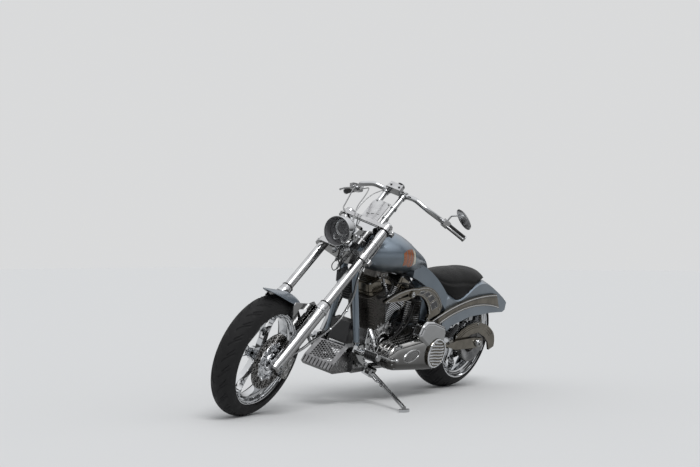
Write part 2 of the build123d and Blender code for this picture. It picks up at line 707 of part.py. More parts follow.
back_start = fork_point(-fork_offset - 8, 0, neck_top - 70)
backbone_path = route(back_start, (860.0, 0.0, 800.0), (600.0, 0.0, 690.0), (430.0, 0.0, 560.0), (400.0, 0.0, 400.0),
                      radius=[160, 160, 70])
with BuildPart() as backbone:
    with BuildSketch(section_plane(backbone_path)):
        Circle(tube_radius + 2)
    sweep(path=backbone_path)
    with BuildSketch(fork_plane(neck_base - 40, -fork_offset)):
        Circle(neck_radius)
    extrude(amount=neck_top - neck_base + 80, mode=Mode.SUBTRACT)
finish(backbone, "backbone")

down_top = fork_point(-fork_offset - neck_radius + 2, 0, neck_base + 26)
tube_feet = {}
with BuildPart() as down_tubes:
    for side in (1, -1):
        start = Vector(down_top[0], side * 24.0, down_top[2])
        foot = Vector(1098.0, side * cradle_y, 372.0)
        way = (foot - start).normalized()
        tube_feet[side] = (foot, way)
        with BuildSketch(Plane(origin=start, z_dir=way)):
            Circle(tube_radius)
        extrude(amount=(foot - start).length)
        with BuildSketch(Plane(origin=start + way * 86, z_dir=way)):
            Circle(tube_radius + 4)
        extrude(amount=26)
    with BuildSketch(fork_plane(neck_base - 40, -fork_offset)):
        Circle(neck_radius)
    extrude(amount=neck_top - neck_base + 80, mode=Mode.SUBTRACT)
finish(down_tubes, "down_tubes")

with BuildPart() as cradle:
    for side in (1, -1):
        foot, way = tube_feet[side]
        elbow = foot + way * 62
        path = route(tuple(foot), tuple(elbow), (elbow.X - 70, side * cradle_y, cradle_z),
                     (430.0, side * cradle_y, cradle_z),
                     (swingarm_pivot[0], side * cradle_y, swingarm_pivot[1] - pivot_radius), radius=[50, 50, 40])
        with BuildSketch(section_plane(path)):
            Circle(tube_radius)
        sweep(path=path)
    for cross_x in (940.0, 640.0):
        with BuildSketch(side_plane(cradle_y)):
            with Locations((cross_x, cradle_z - 4)):
                Circle(tube_radius - 5)
        extrude(amount=2 * cradle_y)
    with BuildSketch(side_plane(swingarm_y)):
        with Locations(swingarm_pivot):
            Circle(pivot_radius)
    extrude(amount=2 * swingarm_y, mode=Mode.SUBTRACT)
finish(cradle, "cradle")

# Tank: a long dome that tapers down to the seat
tank_stations = [
    # x, half width, bottom z, top z
    (1082.0, 40.0, 806.0, 872.0),
    (1050.0, 104.0, 770.0, 920.0),
    (980.0, 150.0, 744.0, 956.0),
    (900.0, 166.0, 734.0, 967.0),
    (800.0, 160.0, 728.0, 947.0),
    (680.0, 130.0, 732.0, 894.0),
    (560.0, 86.0, 746.0, 840.0),
    (480.0, 56.0, 712.0, 780.0),
    (426.0, 32.0, 692.0, 736.0),
]
with BuildPart() as tank:
    for x, half_width, bottom, top in tank_stations:
        with BuildSketch(Plane(origin=(x, 0, (top + bottom) / 2), x_dir=(0, 1, 0), z_dir=(1, 0, 0))):
            Ellipse(half_width, (top - bottom) / 2)
    loft()
    with BuildSketch(section_plane(backbone_path)):
        Circle(tube_radius + 2.3)
    sweep(path=backbone_path, mode=Mode.SUBTRACT)
finish(tank, "tank")

# Rear body: fender, tail and side pods in one shell, with the well for the wide tyre
body_half = 158.0
body_front = 372.0
body_tail = -362.0
tail_sweep = 40.0
well_half = 142.0
well_side = 280.0
well_crown = rear_radius + 24.0
deck_stations = [
    # x, z at the sides, z along the middle
    (body_front, 596.0, 658.0),
    (260.0, 582.0, 652.0),
    (144.0, 622.0, 674.0),
    (20.0, 680.0, 705.0),
    (-80.0, 670.0, 700.0),
    (-180.0, 630.0, 668.0),
    (-280.0, 582.0, 626.0),
    (body_tail, 528.0, 574.0),
]
body_hem = [
    # x, z of the lower edge, from the front back to the tail
    (body_front, 392.0),
    (318.0, 392.0),
    (262.0, 438.0),
    (196.0, 452.0),
    (80.0, 482.0),
    (-138.0, 496.0),
    (-298.0, 496.0),
    (-352.0, 526.0),
    (body_tail, 556.0),
]
body_ceiling = 760.0
with BuildPart() as rear_fender:
    for x, side_z, middle_z in deck_stations:
        with BuildSketch(Plane(origin=(x, 0, 0), x_dir=(0, 1, 0), z_dir=(1, 0, 0))):
            with BuildLine():
                deck = ThreePointArc((-body_half, side_z), (0, middle_z), (body_half, side_z))
                Polyline(deck @ 1, (body_half, 350), (-body_half, 350), deck @ 0)
            make_face()
    loft()
    with BuildSketch(side_plane(body_half + 1)):
        with BuildLine():
            Polyline(*body_hem, (body_tail, body_ceiling), (body_front, body_ceiling), close=True)
        make_face()
    extrude(amount=2 * body_half + 2, mode=Mode.INTERSECT)
    with BuildSketch(Plane.XY.offset(300)):
        with BuildLine():
            tail = ThreePointArc((body_tail + tail_sweep, -body_half - 1), (body_tail, 0),
                                 (body_tail + tail_sweep, body_half + 1))
            Polyline(tail @ 1, (body_front + 1, body_half + 1), (body_front + 1, -body_half - 1), tail @ 0)
        make_face()
    extrude(amount=body_ceiling - 300, mode=Mode.INTERSECT)
    with BuildSketch(Plane(origin=(0, 0, rear_radius), x_dir=(0, 1, 0), z_dir=(1, 0, 0))):
        with BuildLine():
            Line((-well_half, 0), (-well_half, well_side))
            ThreePointArc((-well_half, well_side), (0, well_crown), (well_half, well_side))
            Polyline((well_half, well_side), (well_half, 0), (-well_half, 0))
        make_face()
    revolve(axis=Axis((0, 0, rear_radius), (0, 1, 0)), mode=Mode.SUBTRACT)
    add(backbone.part, mode=Mode.SUBTRACT)
finish(rear_fender, "rear_fender")

# Painted side spars: they spread from the tank's tail to the front of the rear body
spar_end = body_front + seat_gap
with BuildPart() as side_spars:
    with BuildSketch(side_plane(body_half)):
        with BuildLine():
            ridge = ThreePointArc((668, 806), (490, 733), (spar_end, 618))
            lower_edge = ThreePointArc((spar_end, 540), (490, 638), (668, 716))
            Line(ridge @ 1, lower_edge @ 0)
            Line(lower_edge @ 1, ridge @ 0)
        make_face()
    extrude(amount=body_half)
    with BuildSketch(Plane.XY.offset(500)):
        with BuildLine():
            outside = ThreePointArc((668, 92), (500, 114), (spar_end, body_half))
            inside = ThreePointArc((spar_end, 108), (500, 70), (668, 46))
            Line(outside @ 1, inside @ 0)
            Line(inside @ 1, outside @ 0)
        make_face()
    extrude(amount=400, mode=Mode.INTERSECT)
    add(tank.part, mode=Mode.SUBTRACT)
    mirror(about=Plane.XZ)
finish(side_spars, "side_spars")

# Seat: a broad saddle with drooping flanks and a narrow nose behind the tank
seat_stations = [
    # x, half width, z of the lower edges, top z
    (416.0, 40.0, 694.0, 722.0),
    (386.0, 84.0, 664.0, 729.0),
    (300.0, 146.0, 592.0, 738.0),
    (240.0, 156.0, 590.0, 744.0),
    (144.0, 156.0, 628.0, 748.0),
    (40.0, 150.0, 688.0, 749.0),
    (-60.0, 118.0, 706.0, 743.0),
    (-112.0, 60.0, 700.0, 730.0),
]
with BuildPart() as seat:
    for x, half_width, low, top in seat_stations:
        with BuildSketch(Plane(origin=(x, 0, 0), x_dir=(0, 1, 0), z_dir=(1, 0, 0))):
            with BuildLine():
                ThreePointArc((-half_width, low), (0, top), (half_width, low))
                Line((half_width, low), (-half_width, low))
            make_face()
    loft()
    add(rear_fender.part, mode=Mode.SUBTRACT)
    with BuildSketch(side_plane(well_half)):
        with Locations((0, rear_radius)):
            Circle(well_crown + 4)
    extrude(amount=2 * well_half, mode=Mode.SUBTRACT)
finish(seat, "seat")

# Tail strakes: polished, ribbed bands along the pods
strake_inner = body_half + seat_gap
strake_y = 174.0
with BuildPart() as tail_strakes:
    with BuildSketch(side_plane(strake_y)):
        with BuildLine():
            upper = ThreePointArc((534, 474), (195, 585), (-157, 617))
            lower = ThreePointArc((-221, 526), (191, 531), (421, 457))
            Line(upper @ 0, lower @ 1)
            Line(upper @ 1, lower @ 0)
        make_face()
    extrude(amount=strake_y - strake_inner)
    mirror(about=Plane.XZ)
finish(tail_strakes, "tail_strakes")

# Swingarm: two arms from the pivot to the axle plates
with BuildPart() as swingarm:
    for side in (1, -1):
        with BuildSketch(side_plane(side * swingarm_y + arm_thickness / 2)):
            with BuildLine():
                Polyline((-46, 300), (-46, 356), (60, 362), (240, 356), swingarm_pivot, (240, 300), (60, 298),
                         close=True)
            make_face()
            with Locations(swingarm_pivot):
                Circle(pivot_radius)
            with Locations((0, rear_radius)):
                Circle(axle_radius + axle_fit, mode=Mode.SUBTRACT)
        extrude(amount=arm_thickness)
    with BuildSketch(side_plane(swingarm_y)):
        with Locations(swingarm_pivot):
            Circle(pivot_radius)
    extrude(amount=2 * swingarm_y)
finish(swingarm, "swingarm")

# Belt guard: a polished sickle over the pulley, with raised ribs that follow it
guard_inner = pulley_y + pulley_width / 2 + moving_gap
guard_outer = guard_inner + 12.0
guard_centre = 300.0
guard_arc = [(238.0, 378.0), (11.0, 449.0), (-195.0, 377.0)]
guard_ribs = [0.96, 0.88, 0.80]


def guard_line(scale):
    """The guard's outer arc, shrunk towards the middle of the wheel."""
    return [(x * scale, guard_centre + (z - guard_centre) * scale) for x, z in guard_arc]


with BuildPart() as belt_guard:
    with BuildSketch(side_plane(guard_outer)):
        with BuildLine():
            crest = ThreePointArc(*guard_line(1))
            tail = ThreePointArc(crest @ 1, (-224, 330), (-231, 287))
            Polyline(tail @ 1, (-179, 268), (-150, 318), (-99, 354), (-13, 387), (71, 378), (120, 350), (238, 344),
                     crest @ 0)
        make_face()
    extrude(amount=guard_outer - guard_inner)
    for scale in guard_ribs:
        with BuildSketch(side_plane(guard_outer + 2)):
            with BuildLine():
                rib_top = ThreePointArc(*guard_line(scale))
                rib_low = ThreePointArc(*guard_line(scale - 0.025))
                Line(rib_top @ 0, rib_low @ 0)
                Line(rib_top @ 1, rib_low @ 1)
            make_face()
        extrude(amount=3)
    add(swingarm.part, mode=Mode.SUBTRACT)
finish(belt_guard, "belt_guard")

# Rear caliper, low behind the axle on the right arm
with BuildPart() as rear_caliper:
    with BuildSketch(side_plane(rear_disc_y + caliper_slot / 2 + 10)):
        with Locations((Pos(0, rear_radius) * Rot(0, 0, 214))):
            with Locations((128, 0)):
                RectangleRounded(56, 108, 12)
    extrude(amount=caliper_slot / 2 + 10 + 34)
    with BuildSketch(side_plane(rear_disc_y + caliper_slot / 2)):
        with Locations((0, rear_radius)):
            Circle(rear_disc_radius + moving_gap)
    extrude(amount=caliper_slot, mode=Mode.SUBTRACT)
    with BuildSketch(side_plane(rear_disc_y - caliper_slot / 2)):
        with BuildLine():
            Polyline((-36, 306), (-36, 340), (-60, 350), (-110, 290), (-110, 262), (-84, 250), close=True)
        make_face()
    extrude(amount=16)
    add(swingarm.part, mode=Mode.SUBTRACT)
finish(rear_caliper, "rear_caliper")

# Passenger pegs, folded up against the frame
peg_root = Vector(366, 214, 386)
peg_tip = Vector(353, 250, 473)
peg_way = (peg_tip - peg_root).normalized()
with BuildPart() as passenger_pegs:
    with BuildSketch(Plane(origin=peg_root, z_dir=peg_way)):
        Circle(10)
    extrude(amount=(peg_tip - peg_root).length)
    for index in range(8):
        with BuildSketch(Plane(origin=peg_root + peg_way * (8 + index * 10.5), z_dir=peg_way)):
            Circle(14)
        extrude(amount=6)
    with BuildSketch(side_plane(peg_root.Y + 8)):
        with Locations((peg_root.X - 6, peg_root.Z + 16)):
            RectangleRounded(24, 34, 6)
    extrude(amount=peg_root.Y + 8 - body_half)
    mirror(about=Plane.XZ)
    add(rear_fender.part, mode=Mode.SUBTRACT)
finish(passenger_pegs, "passenger_pegs")

# Engine: crankcase, two finned cylinders, heads and ribbed rocker boxes
cylinder_base = 112.0
deck_half = 70.0
tilt_sin = sin(radians(cylinder_angle))
tilt_cos = cos(radians(cylinder_angle))
deck_reach = tilt_sin * cylinder_base + tilt_cos * deck_half
deck_low = tilt_cos * cylinder_base - tilt_sin * deck_half
gearbox_half_width = 78.0
cylinder_top = 240.0
head_top = 318.0
rocker_top = 384.0
fin_radius = 80.0
barrel_radius = 62.0
head_half_depth = 88.0
rocker_half_depth = 79.0
split_gap = 0.4


def stack_plane(tilt, height):
    """Plane across a leaning cylinder, so far up its axis from the crank."""
    way = Vector(sin(radians(tilt)), 0, cos(radians(tilt)))
    across = Vector(cos(radians(tilt)), 0, -sin(radians(tilt)))
    return Plane(origin=Vector(crank[0], 0, crank[1]) + way * height, x_dir=across, z_dir=way)


tilts = (cylinder_angle, -cylinder_angle)
with BuildPart() as engine_cases:
    with BuildSketch(side_plane(case_half_width)):
        with Locations(crank):
            Circle(110)
        with BuildLine():
            Polyline((crank[0] - 112, 262), (crank[0] + 104, 262), (crank[0] + deck_reach, crank[1] + deck_low),
                     (crank[0], crank[1] + cylinder_base / tilt_cos), (crank[0] - deck_reach, crank[1] + deck_low),
                     close=True)
        make_face()
    extrude(amount=2 * case_half_width)
    with BuildSketch(side_plane(gearbox_half_width)):
        with BuildLine():
            Polyline((740, 262), (740, 400), (660, 436), (520, 430), (500, 262), close=True)
        make_face()
    extrude(amount=2 * gearbox_half_width)
    for mount_x in (940.0, 640.0):
        with BuildSketch(Plane.XY.offset(cradle_z)):
            with Locations((mount_x, 0)):
                Rectangle(44, 60)
        extrude(amount=50)
    with BuildSketch(side_plane(-case_half_width)):
        with Locations((crank[0], crank[1] + 12)):
            Circle(78)
    extrude(amount=24, taper=6)
    for tilt in tilts:
        with BuildSketch(stack_plane(tilt, 66)):
            with Locations((-22, -90), (22, -90)):
                Circle(7.5)
        extrude(amount=cylinder_top + 6 - seat_gap - 66)
    add(cradle.part, mode=Mode.SUBTRACT)
finish(engine_cases, "engine_cases")

fin_count = int((cylinder_top - cylinder_base) / cylinder_pitch) - 1
halves = []
for tilt in tilts:
    with BuildPart() as cylinder:
        with BuildSketch(stack_plane(tilt, cylinder_base)):
            Circle(barrel_radius)
        extrude(amount=cylinder_top - cylinder_base)
        for index in range(fin_count):
            with BuildSketch(stack_plane(tilt, cylinder_base + 8 + index * cylinder_pitch)):
                RectangleRounded(2 * fin_radius, 2 * fin_radius, 40)
            extrude(amount=3.2)
        with BuildSketch(stack_plane(tilt, cylinder_top)):
            RectangleRounded(138, 150, 30)
        extrude(amount=head_top - cylinder_top)
        for index in range(6):
            with BuildSketch(stack_plane(tilt, cylinder_top + 6 + index * 11)):
                RectangleRounded(168, 2 * head_half_depth, 40)
            extrude(amount=4)
        side = 1 if tilt > 0 else -1
        split(bisect_by=Plane(origin=(crank[0] + side * split_gap / 2, 0, 0), z_dir=(1, 0, 0)),
              keep=Keep.TOP if tilt > 0 else Keep.BOTTOM)
    halves.append(cylinder.part)
with BuildPart() as cylinders:
    for half in halves:
        add(half)
finish(cylinders, "cylinders")

with BuildPart() as rocker_boxes:
    for tilt in tilts:
        with BuildSketch(stack_plane(tilt, head_top)):
            RectangleRounded(128, 2 * rocker_half_depth, 26)
        extrude(amount=22)
        with BuildSketch(stack_plane(tilt, head_top + 22)):
            RectangleRounded(116, 2 * rocker_half_depth - 12, 24)
        extrude(amount=rocker_top - head_top - 22, taper=6)
        for index in range(6):
            with BuildSketch(stack_plane(tilt, rocker_top - 1)):
                with Locations((-40 + index * 16, 0)):
                    Rectangle(7, 116)
            extrude(amount=6)
finish(rocker_boxes, "rocker_boxes")

# Primary cover and its ribbed outer cover
primary_y = 226.0
primary_inner = cradle_y + tube_radius + seat_gap
clutch = (496.0, 308.0)
clutch_radius = 86.0
clutch_lobe_radius = 106.0
front_lobe = (848.0, 298.0)
front_lobe_radius = 74.0
inspection = (732.0, 304.0)
with BuildPart() as primary_cover:
    with BuildSketch(side_plane(primary_y - 18)):
        with Locations(clutch):
            Circle(clutch_lobe_radius)
        with Locations(front_lobe):
            Circle(front_lobe_radius)
        make_hull()
    extrude(amount=primary_y - 18 - primary_inner)
    with BuildSketch(side_plane(primary_y - 18)):
        with Locations(clutch):
            Circle(clutch_lobe_radius - 2)
        with Locations(front_lobe):
            Circle(front_lobe_radius - 2)
        make_hull()
    extrude(amount=-16, taper=40)
    with BuildSketch(side_plane(primary_y + 2)):
        with Locations(inspection):
            Ellipse(76, 37, rotation=-11)
            Ellipse(66, 28, rotation=-11, mode=Mode.SUBTRACT)
            for offset_x in (-40, -20, 0, 20, 40):
                with Locations(Location((offset_x * 0.98, -offset_x * 0.19), -11)):
                    Rectangle(6, 58)
    extrude(amount=6)
finish(primary_cover, "primary_cover")

with BuildPart() as ribbed_cover:
    with BuildSketch(side_plane(primary_y + 16)):
        with Locations(clutch):
            Circle(clutch_radius)
    extrude(amount=18)
    with BuildSketch(side_plane(primary_y + 24)):
        for index in range(7):
            offset_z = (index - 3) * 22
            half = sqrt(clutch_radius ** 2 - (abs(offset_z) + 5) ** 2) - 2
            with Locations((clutch[0], clutch[1] + offset_z)):
                SlotOverall(2 * half, 10)
    extrude(amount=8)
finish(ribbed_cover, "ribbed_cover")

# Polished side cover above the primary
cover_y = 232.0
with BuildPart() as transmission_cover:
    with BuildSketch(side_plane(cover_y)):
        with BuildLine():
            Polyline((690, 402), (664, 470), (630, 496), (560, 492), (436, 458), (420, 420), (430, 360), (470, 330),
                     (590, 344), close=True)
        cover_face = make_face()
        fillet(cover_face.vertices(), radius=30)
    extrude(amount=cover_y - strake_y - seat_gap)
    rim = transmission_cover.faces().sort_by(Axis.Y)[-1].edges()
    fillet(rim, radius=20)
    add(primary_cover.part, mode=Mode.SUBTRACT)
    add(ribbed_cover.part, mode=Mode.SUBTRACT)
finish(transmission_cover, "transmission_cover")

# Arch cover: the polished scythe over the rear cylinder
arch_y = 168.0
arch_thickness = 16.0
with BuildPart() as arch_cover:
    with BuildSketch(side_plane(arch_y)):
        with BuildLine():
            outer = ThreePointArc((1010, 606), (860, 662), (700, 676))
            over = ThreePointArc((700, 676), (520, 650), (426, 560))
            Polyline(over @ 1, (440, 522), (566, 478), (548, 520))
            under = ThreePointArc((548, 520), (610, 600), (716, 636))
            Polyline(under @ 1, (800, 606), (1000, 598), outer @ 0)
        make_face()
        with BuildLine():
            Polyline((900, 622), (800, 646), (790, 632), (880, 616), close=True)
        make_face(mode=Mode.SUBTRACT)
    extrude(amount=arch_thickness)
    with BuildSketch(side_plane(arch_y + 8)):
        with Locations((760, 642)):
            Circle(20)
    extrude(amount=8)
    with BuildSketch(side_plane(arch_y - arch_thickness)):
        with Locations((722, 652)):
            Circle(9)
    extrude(amount=arch_y - arch_thickness - rocker_half_depth)
finish(arch_cover, "arch_cover")

# Chin grille in front of the cradle
chin_half = 102.0
chin_wall = 3.0
chin_back = 1119.0
chin_brow = (1165.0, 345.0)
chin_nose = (1262.0, 262.0)
chin_lip = (1284.0, 226.0)
chin_foot = (1262.0, 207.0)
slope_length = sqrt((chin_nose[0] - chin_brow[0]) ** 2 + (chin_brow[1] - chin_nose[1]) ** 2)
slope_way = Vector((chin_nose[0] - chin_brow[0]) / slope_length, 0, (chin_nose[1] - chin_brow[1]) / slope_length)
slope_plane = Plane(origin=((chin_brow[0] + chin_nose[0]) / 2, 0, (chin_brow[1] + chin_nose[1]) / 2),
                    x_dir=(0, 1, 0), z_dir=Vector(0, 1, 0).cross(slope_way) * -1)
mesh_radius = 8.0
mesh_gap = 3.6
chin_plate = cradle_y + tube_radius + 3.5
with BuildPart() as chin_grille:
    with BuildSketch(side_plane(chin_half)):
        with BuildLine():
            Polyline(chin_brow, chin_nose, chin_lip, chin_foot, (chin_back, chin_foot[1]), (chin_back, chin_brow[1]),
                     close=True)
        make_face()
    extrude(amount=2 * chin_half)
    with BuildSketch(side_plane(chin_half - chin_wall)):
        with BuildLine():
            Polyline((chin_back - 5, chin_brow[1] + 5), (chin_brow[0] - 2, chin_brow[1] + 5),
                     (chin_brow[0] - 2, chin_brow[1] - 3), (chin_nose[0] - 4, chin_nose[1] - 2),
                     (chin_lip[0] - 6, chin_lip[1] + 1), (chin_foot[0] - 1, chin_foot[1] + 4),
                     (chin_back - 5, chin_foot[1] + 4), close=True)
        make_face()
    extrude(amount=2 * (chin_half - chin_wall), mode=Mode.SUBTRACT)
    with BuildSketch(slope_plane):
        with HexLocations(mesh_radius + mesh_gap / 2, 10, 7, major_radius=True):
            RegularPolygon(mesh_radius, 6)
        Rectangle(2 * chin_half - 14, slope_length - 12, mode=Mode.INTERSECT)
    extrude(amount=-12, both=True, mode=Mode.SUBTRACT)
    for index in range(9):
        with BuildSketch(side_plane(chin_half - 8 - index * 23)):
            with BuildLine():
                Polyline((chin_nose[0] - 2, chin_nose[1] - 4), (chin_nose[0] + 8, chin_nose[1] - 3),
                         (chin_lip[0] + 4, chin_lip[1] + 2), (chin_lip[0] - 2, chin_lip[1] - 2), close=True)
            make_face()
        extrude(amount=6)
    for outer_y in (chin_plate, chin_wall - chin_plate):
        with BuildSketch(side_plane(outer_y)):
            with BuildLine():
                Polyline((chin_back + 2, chin_brow[1]), (chin_back + 2, chin_foot[1]), (1012, chin_foot[1] + 2),
                         (1012, chin_foot[1] + 30), (1084, chin_foot[1] + 40), (1100, chin_brow[1]), close=True)
            make_face()
        extrude(amount=chin_wall)
    for outer_y in (chin_plate, chin_wall - chin_half):
        with BuildSketch(side_plane(outer_y)):
            with BuildLine():
                Polyline((chin_back, chin_brow[1]), (chin_back, chin_foot[1]), (chin_back + chin_wall, chin_foot[1]),
                         (chin_back + chin_wall, chin_brow[1]), close=True)
            make_face()
        extrude(amount=chin_plate - chin_half + chin_wall)
    add(cradle.part, mode=Mode.SUBTRACT)
finish(chin_grille, "chin_grille")

# Black electrics box and finned regulator between the down tubes
with BuildPart() as electrics:
    with BuildSketch(side_plane(60)):
        with BuildLine():
            Polyline((1078, 352), (1136, 352), (1136, 470), (1078, 478), close=True)
        make_face()
    extrude(amount=120)
    with BuildSketch(Plane(origin=(1094, 0, 440), x_dir=(0, 1, 0), z_dir=(1, 0, 0))):
        Rectangle(180, 24)
    extrude(amount=10)
    with BuildSketch(Plane(origin=(1126, 0, 640), x_dir=(0, 1, 0), z_dir=(1, 0, 0))):
        Rectangle(110, 34)
        Rectangle(52, 110)
    extrude(amount=10)
    add(down_tubes.part, mode=Mode.SUBTRACT)
    with BuildSketch(Plane(origin=(1136, 0, 640), x_dir=(0, 1, 0), z_dir=(1, 0, 0))):
        with GridLocations(0, 13, 1, 8):
            Rectangle(52, 4)
    extrude(amount=20)
finish(electrics, "electrics")

# Exhaust: two pipes that sweep down the right side into one long silencer
exhaust_runs = [
    # head, out, bend down, into the silencer
    ((960.0, -88.3, 600.0), (960.0, -156.0, 600.0), (1050.0, -182.0, 300.0), (800.0, -206.0, 238.0),
     (600.0, -206.0, 238.0)),
    ((700.0, -88.3, 596.0), (700.0, -156.0, 596.0), (736.0, -206.0, 420.0), (640.0, -210.0, 300.0),
     (520.0, -210.0, 300.0)),
]
pipe_radius = 22.0
silencer_radius = 36.0
with BuildPart() as exhaust:
    for points in exhaust_runs:
        path = route(*points, radius=[44, 60, 50])
        with BuildSketch(section_plane(path)):
            Circle(pipe_radius)
        sweep(path=path)
    with BuildSketch(Plane(origin=(640, -206, 240), x_dir=(0, 1, 0), z_dir=(-1, 0, 0))):
        Circle(silencer_radius)
    extrude(amount=480)
    with BuildSketch(Plane(origin=(150, -206, 240), x_dir=(0, 1, 0), z_dir=(1, 0, 0))):
        Circle(silencer_radius - 6)
    extrude(amount=80, mode=Mode.SUBTRACT)
finish(exhaust, "exhaust")

# Air cleaner on the right
with BuildPart() as air_cleaner:
    with BuildSketch(side_plane(-head_half_depth - seat_gap)):
        with Locations((836, 628)):
            Circle(66)
    extrude(amount=12)
    with BuildSketch(side_plane(-head_half_depth - 12)):
        with Locations((836, 628)):
            Circle(84)
    extrude(amount=66, taper=12)
finish(air_cleaner, "air_cleaner")

# Forward controls: bracket, peg, pedal
with BuildPart() as foot_controls:
    for side in (1, -1):
        with BuildSketch(side_plane(side * 140 + 12)):
            with BuildLine():
                Polyline((1060, 250), (1110, 250), (1160, 330), (1150, 366), (1110, 372), (1060, 300), close=True)
            make_face()
        extrude(amount=24)
        with BuildSketch(side_plane(side * 152)):
            with Locations((1128, 336)):
                Circle(16)
        extrude(amount=-side * 130)
        with BuildSketch(side_plane(side * 128)):
            with Locations((1080, 268)):
                Circle(12)
        extrude(amount=side * 30)
    add(cradle.part, mode=Mode.SUBTRACT)
    add(chin_grille.part, mode=Mode.SUBTRACT)
finish(foot_controls, "foot_controls")

# Side stand: bracket on the cradle, and the leg with its crescent foot
stand_pivot = Vector(974, 150, 208)
foot_on_ground = Vector(1191, 555, 0)
foot = (Location(ground) * Pos(foot_on_ground)).position
ankle = foot + ground.z_dir * 20
stand_way = (ankle - stand_pivot).normalized()
fold_way = Vector(-0.97, 0.16, -0.06)
fold_axis = stand_way.cross(fold_way).normalized()
stand_radius = 11.0
inward = Plane(origin=stand_pivot, x_dir=(1, 0, 0), z_dir=fold_axis).y_dir * -1
with BuildPart() as stand_bracket:
    for height in (13, -23):
        with BuildSketch(Plane(origin=stand_pivot + fold_axis * height, x_dir=inward, z_dir=fold_axis)):
            SlotCenterPoint((28, 0), (56, 0), 44)
            Circle(22)
            with Locations((14, 0)):
                Rectangle(28, 44)
        extrude(amount=10)
    with BuildSketch(Plane(origin=stand_pivot - fold_axis * 23, x_dir=inward, z_dir=fold_axis)):
        with Locations((52, 0)):
            Rectangle(44, 44)
    extrude(amount=46)
    with BuildSketch(Plane(origin=stand_pivot - fold_axis * 23, z_dir=fold_axis)):
        Circle(8)
    extrude(amount=46)
    add(cradle.part, mode=Mode.SUBTRACT)
    with BuildSketch(side_plane(cradle_y)):
        with Locations((stand_pivot.X, cradle_z)):
            Rectangle(200, 200)
    extrude(amount=60, mode=Mode.SUBTRACT)
finish(stand_bracket, "stand_bracket")

with BuildPart() as side_stand:
    with BuildSketch(Plane(origin=stand_pivot - fold_axis * 12, z_dir=fold_axis)):
        Circle(20)
        Circle(8 + axle_fit, mode=Mode.SUBTRACT)
    extrude(amount=24)
    with BuildSketch(Plane(origin=stand_pivot + stand_way * 16, z_dir=stand_way)):
        Circle(stand_radius)
    extrude(amount=(ankle - stand_pivot).length - 16)
    with BuildSketch(Plane(origin=foot, x_dir=ground.x_dir, z_dir=ground.z_dir)):
        Ellipse(34, 24)
    extrude(amount=14)
finish(side_stand, "side_stand")

# All pieces go to their places at rest, and the origin under the middle of the whole bike
os.makedirs("parts", exist_ok=True)
placed = [(part.label, part.moved(place)) for part, place in pieces]
boxes = [part.bounding_box() for _, part in placed]
middle_x = (min(box.min.X for box in boxes) + max(box.max.X for box in boxes)) / 2
middle_y = (min(box.min.Y for box in boxes) + max(box.max.Y for box in boxes)) / 2
origin_shift = Vector(-middle_x, -middle_y, 0)
for name, part in placed:
    part = part.moved(Pos(origin_shift))
    part.label = name
    export_step(part, f"parts/{name}.step")

hinges = [
    # name, place, a point on the axis, its direction
    ("steering", leaning, steer_foot, along),
    ("front_wheel_spin", steered, Vector(*front_axle), Vector(0, 1, 0)),
    ("rear_wheel_spin", leaning, Vector(0, 0, rear_radius), Vector(0, 1, 0)),
    ("side_stand_fold", leaning, stand_pivot, fold_axis),
    ("rear_stand_left", leaning, Vector(0, arm_outside + nut_depth + pin_length / 2, rear_radius), Vector(0, 1, 0)),
    ("rear_stand_right", leaning, Vector(0, -arm_outside - nut_depth - pin_length / 2, rear_radius), Vector(0, -1, 0)),
]
for name, place, spot, way in hinges:
    point = (place * Pos(spot)).position
    tip = (place * Pos(spot + way)).position
    print("axis", name, *(point + origin_shift), *(tip - point))
print("pitch", round(pitch_at_rest, 3), "lift", round(lift_at_rest, 2), "shift", origin_shift)
print("box", min(box.min.Z for box in boxes), max(box.max.Z for box in boxes))
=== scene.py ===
import json
from math import acos, atan2, cos, hypot, pi, radians, sin, sqrt

import bmesh
import bpy
from mathutils import Matrix, Vector


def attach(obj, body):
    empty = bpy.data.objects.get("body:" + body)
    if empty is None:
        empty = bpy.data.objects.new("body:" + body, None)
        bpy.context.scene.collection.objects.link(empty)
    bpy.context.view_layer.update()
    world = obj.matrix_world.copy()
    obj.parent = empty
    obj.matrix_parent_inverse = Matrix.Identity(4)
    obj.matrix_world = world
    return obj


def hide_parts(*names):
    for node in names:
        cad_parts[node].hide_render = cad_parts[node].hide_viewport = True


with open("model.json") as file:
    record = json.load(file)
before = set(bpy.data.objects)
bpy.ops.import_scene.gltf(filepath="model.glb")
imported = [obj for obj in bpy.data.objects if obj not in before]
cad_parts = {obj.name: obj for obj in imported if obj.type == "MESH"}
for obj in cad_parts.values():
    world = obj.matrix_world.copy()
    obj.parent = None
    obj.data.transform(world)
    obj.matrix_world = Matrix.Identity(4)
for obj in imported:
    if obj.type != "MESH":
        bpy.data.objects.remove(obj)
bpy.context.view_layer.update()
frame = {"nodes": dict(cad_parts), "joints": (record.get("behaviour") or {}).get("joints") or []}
nodes = frame["nodes"]
print("frame loaded with", len(nodes), "CAD nodes")

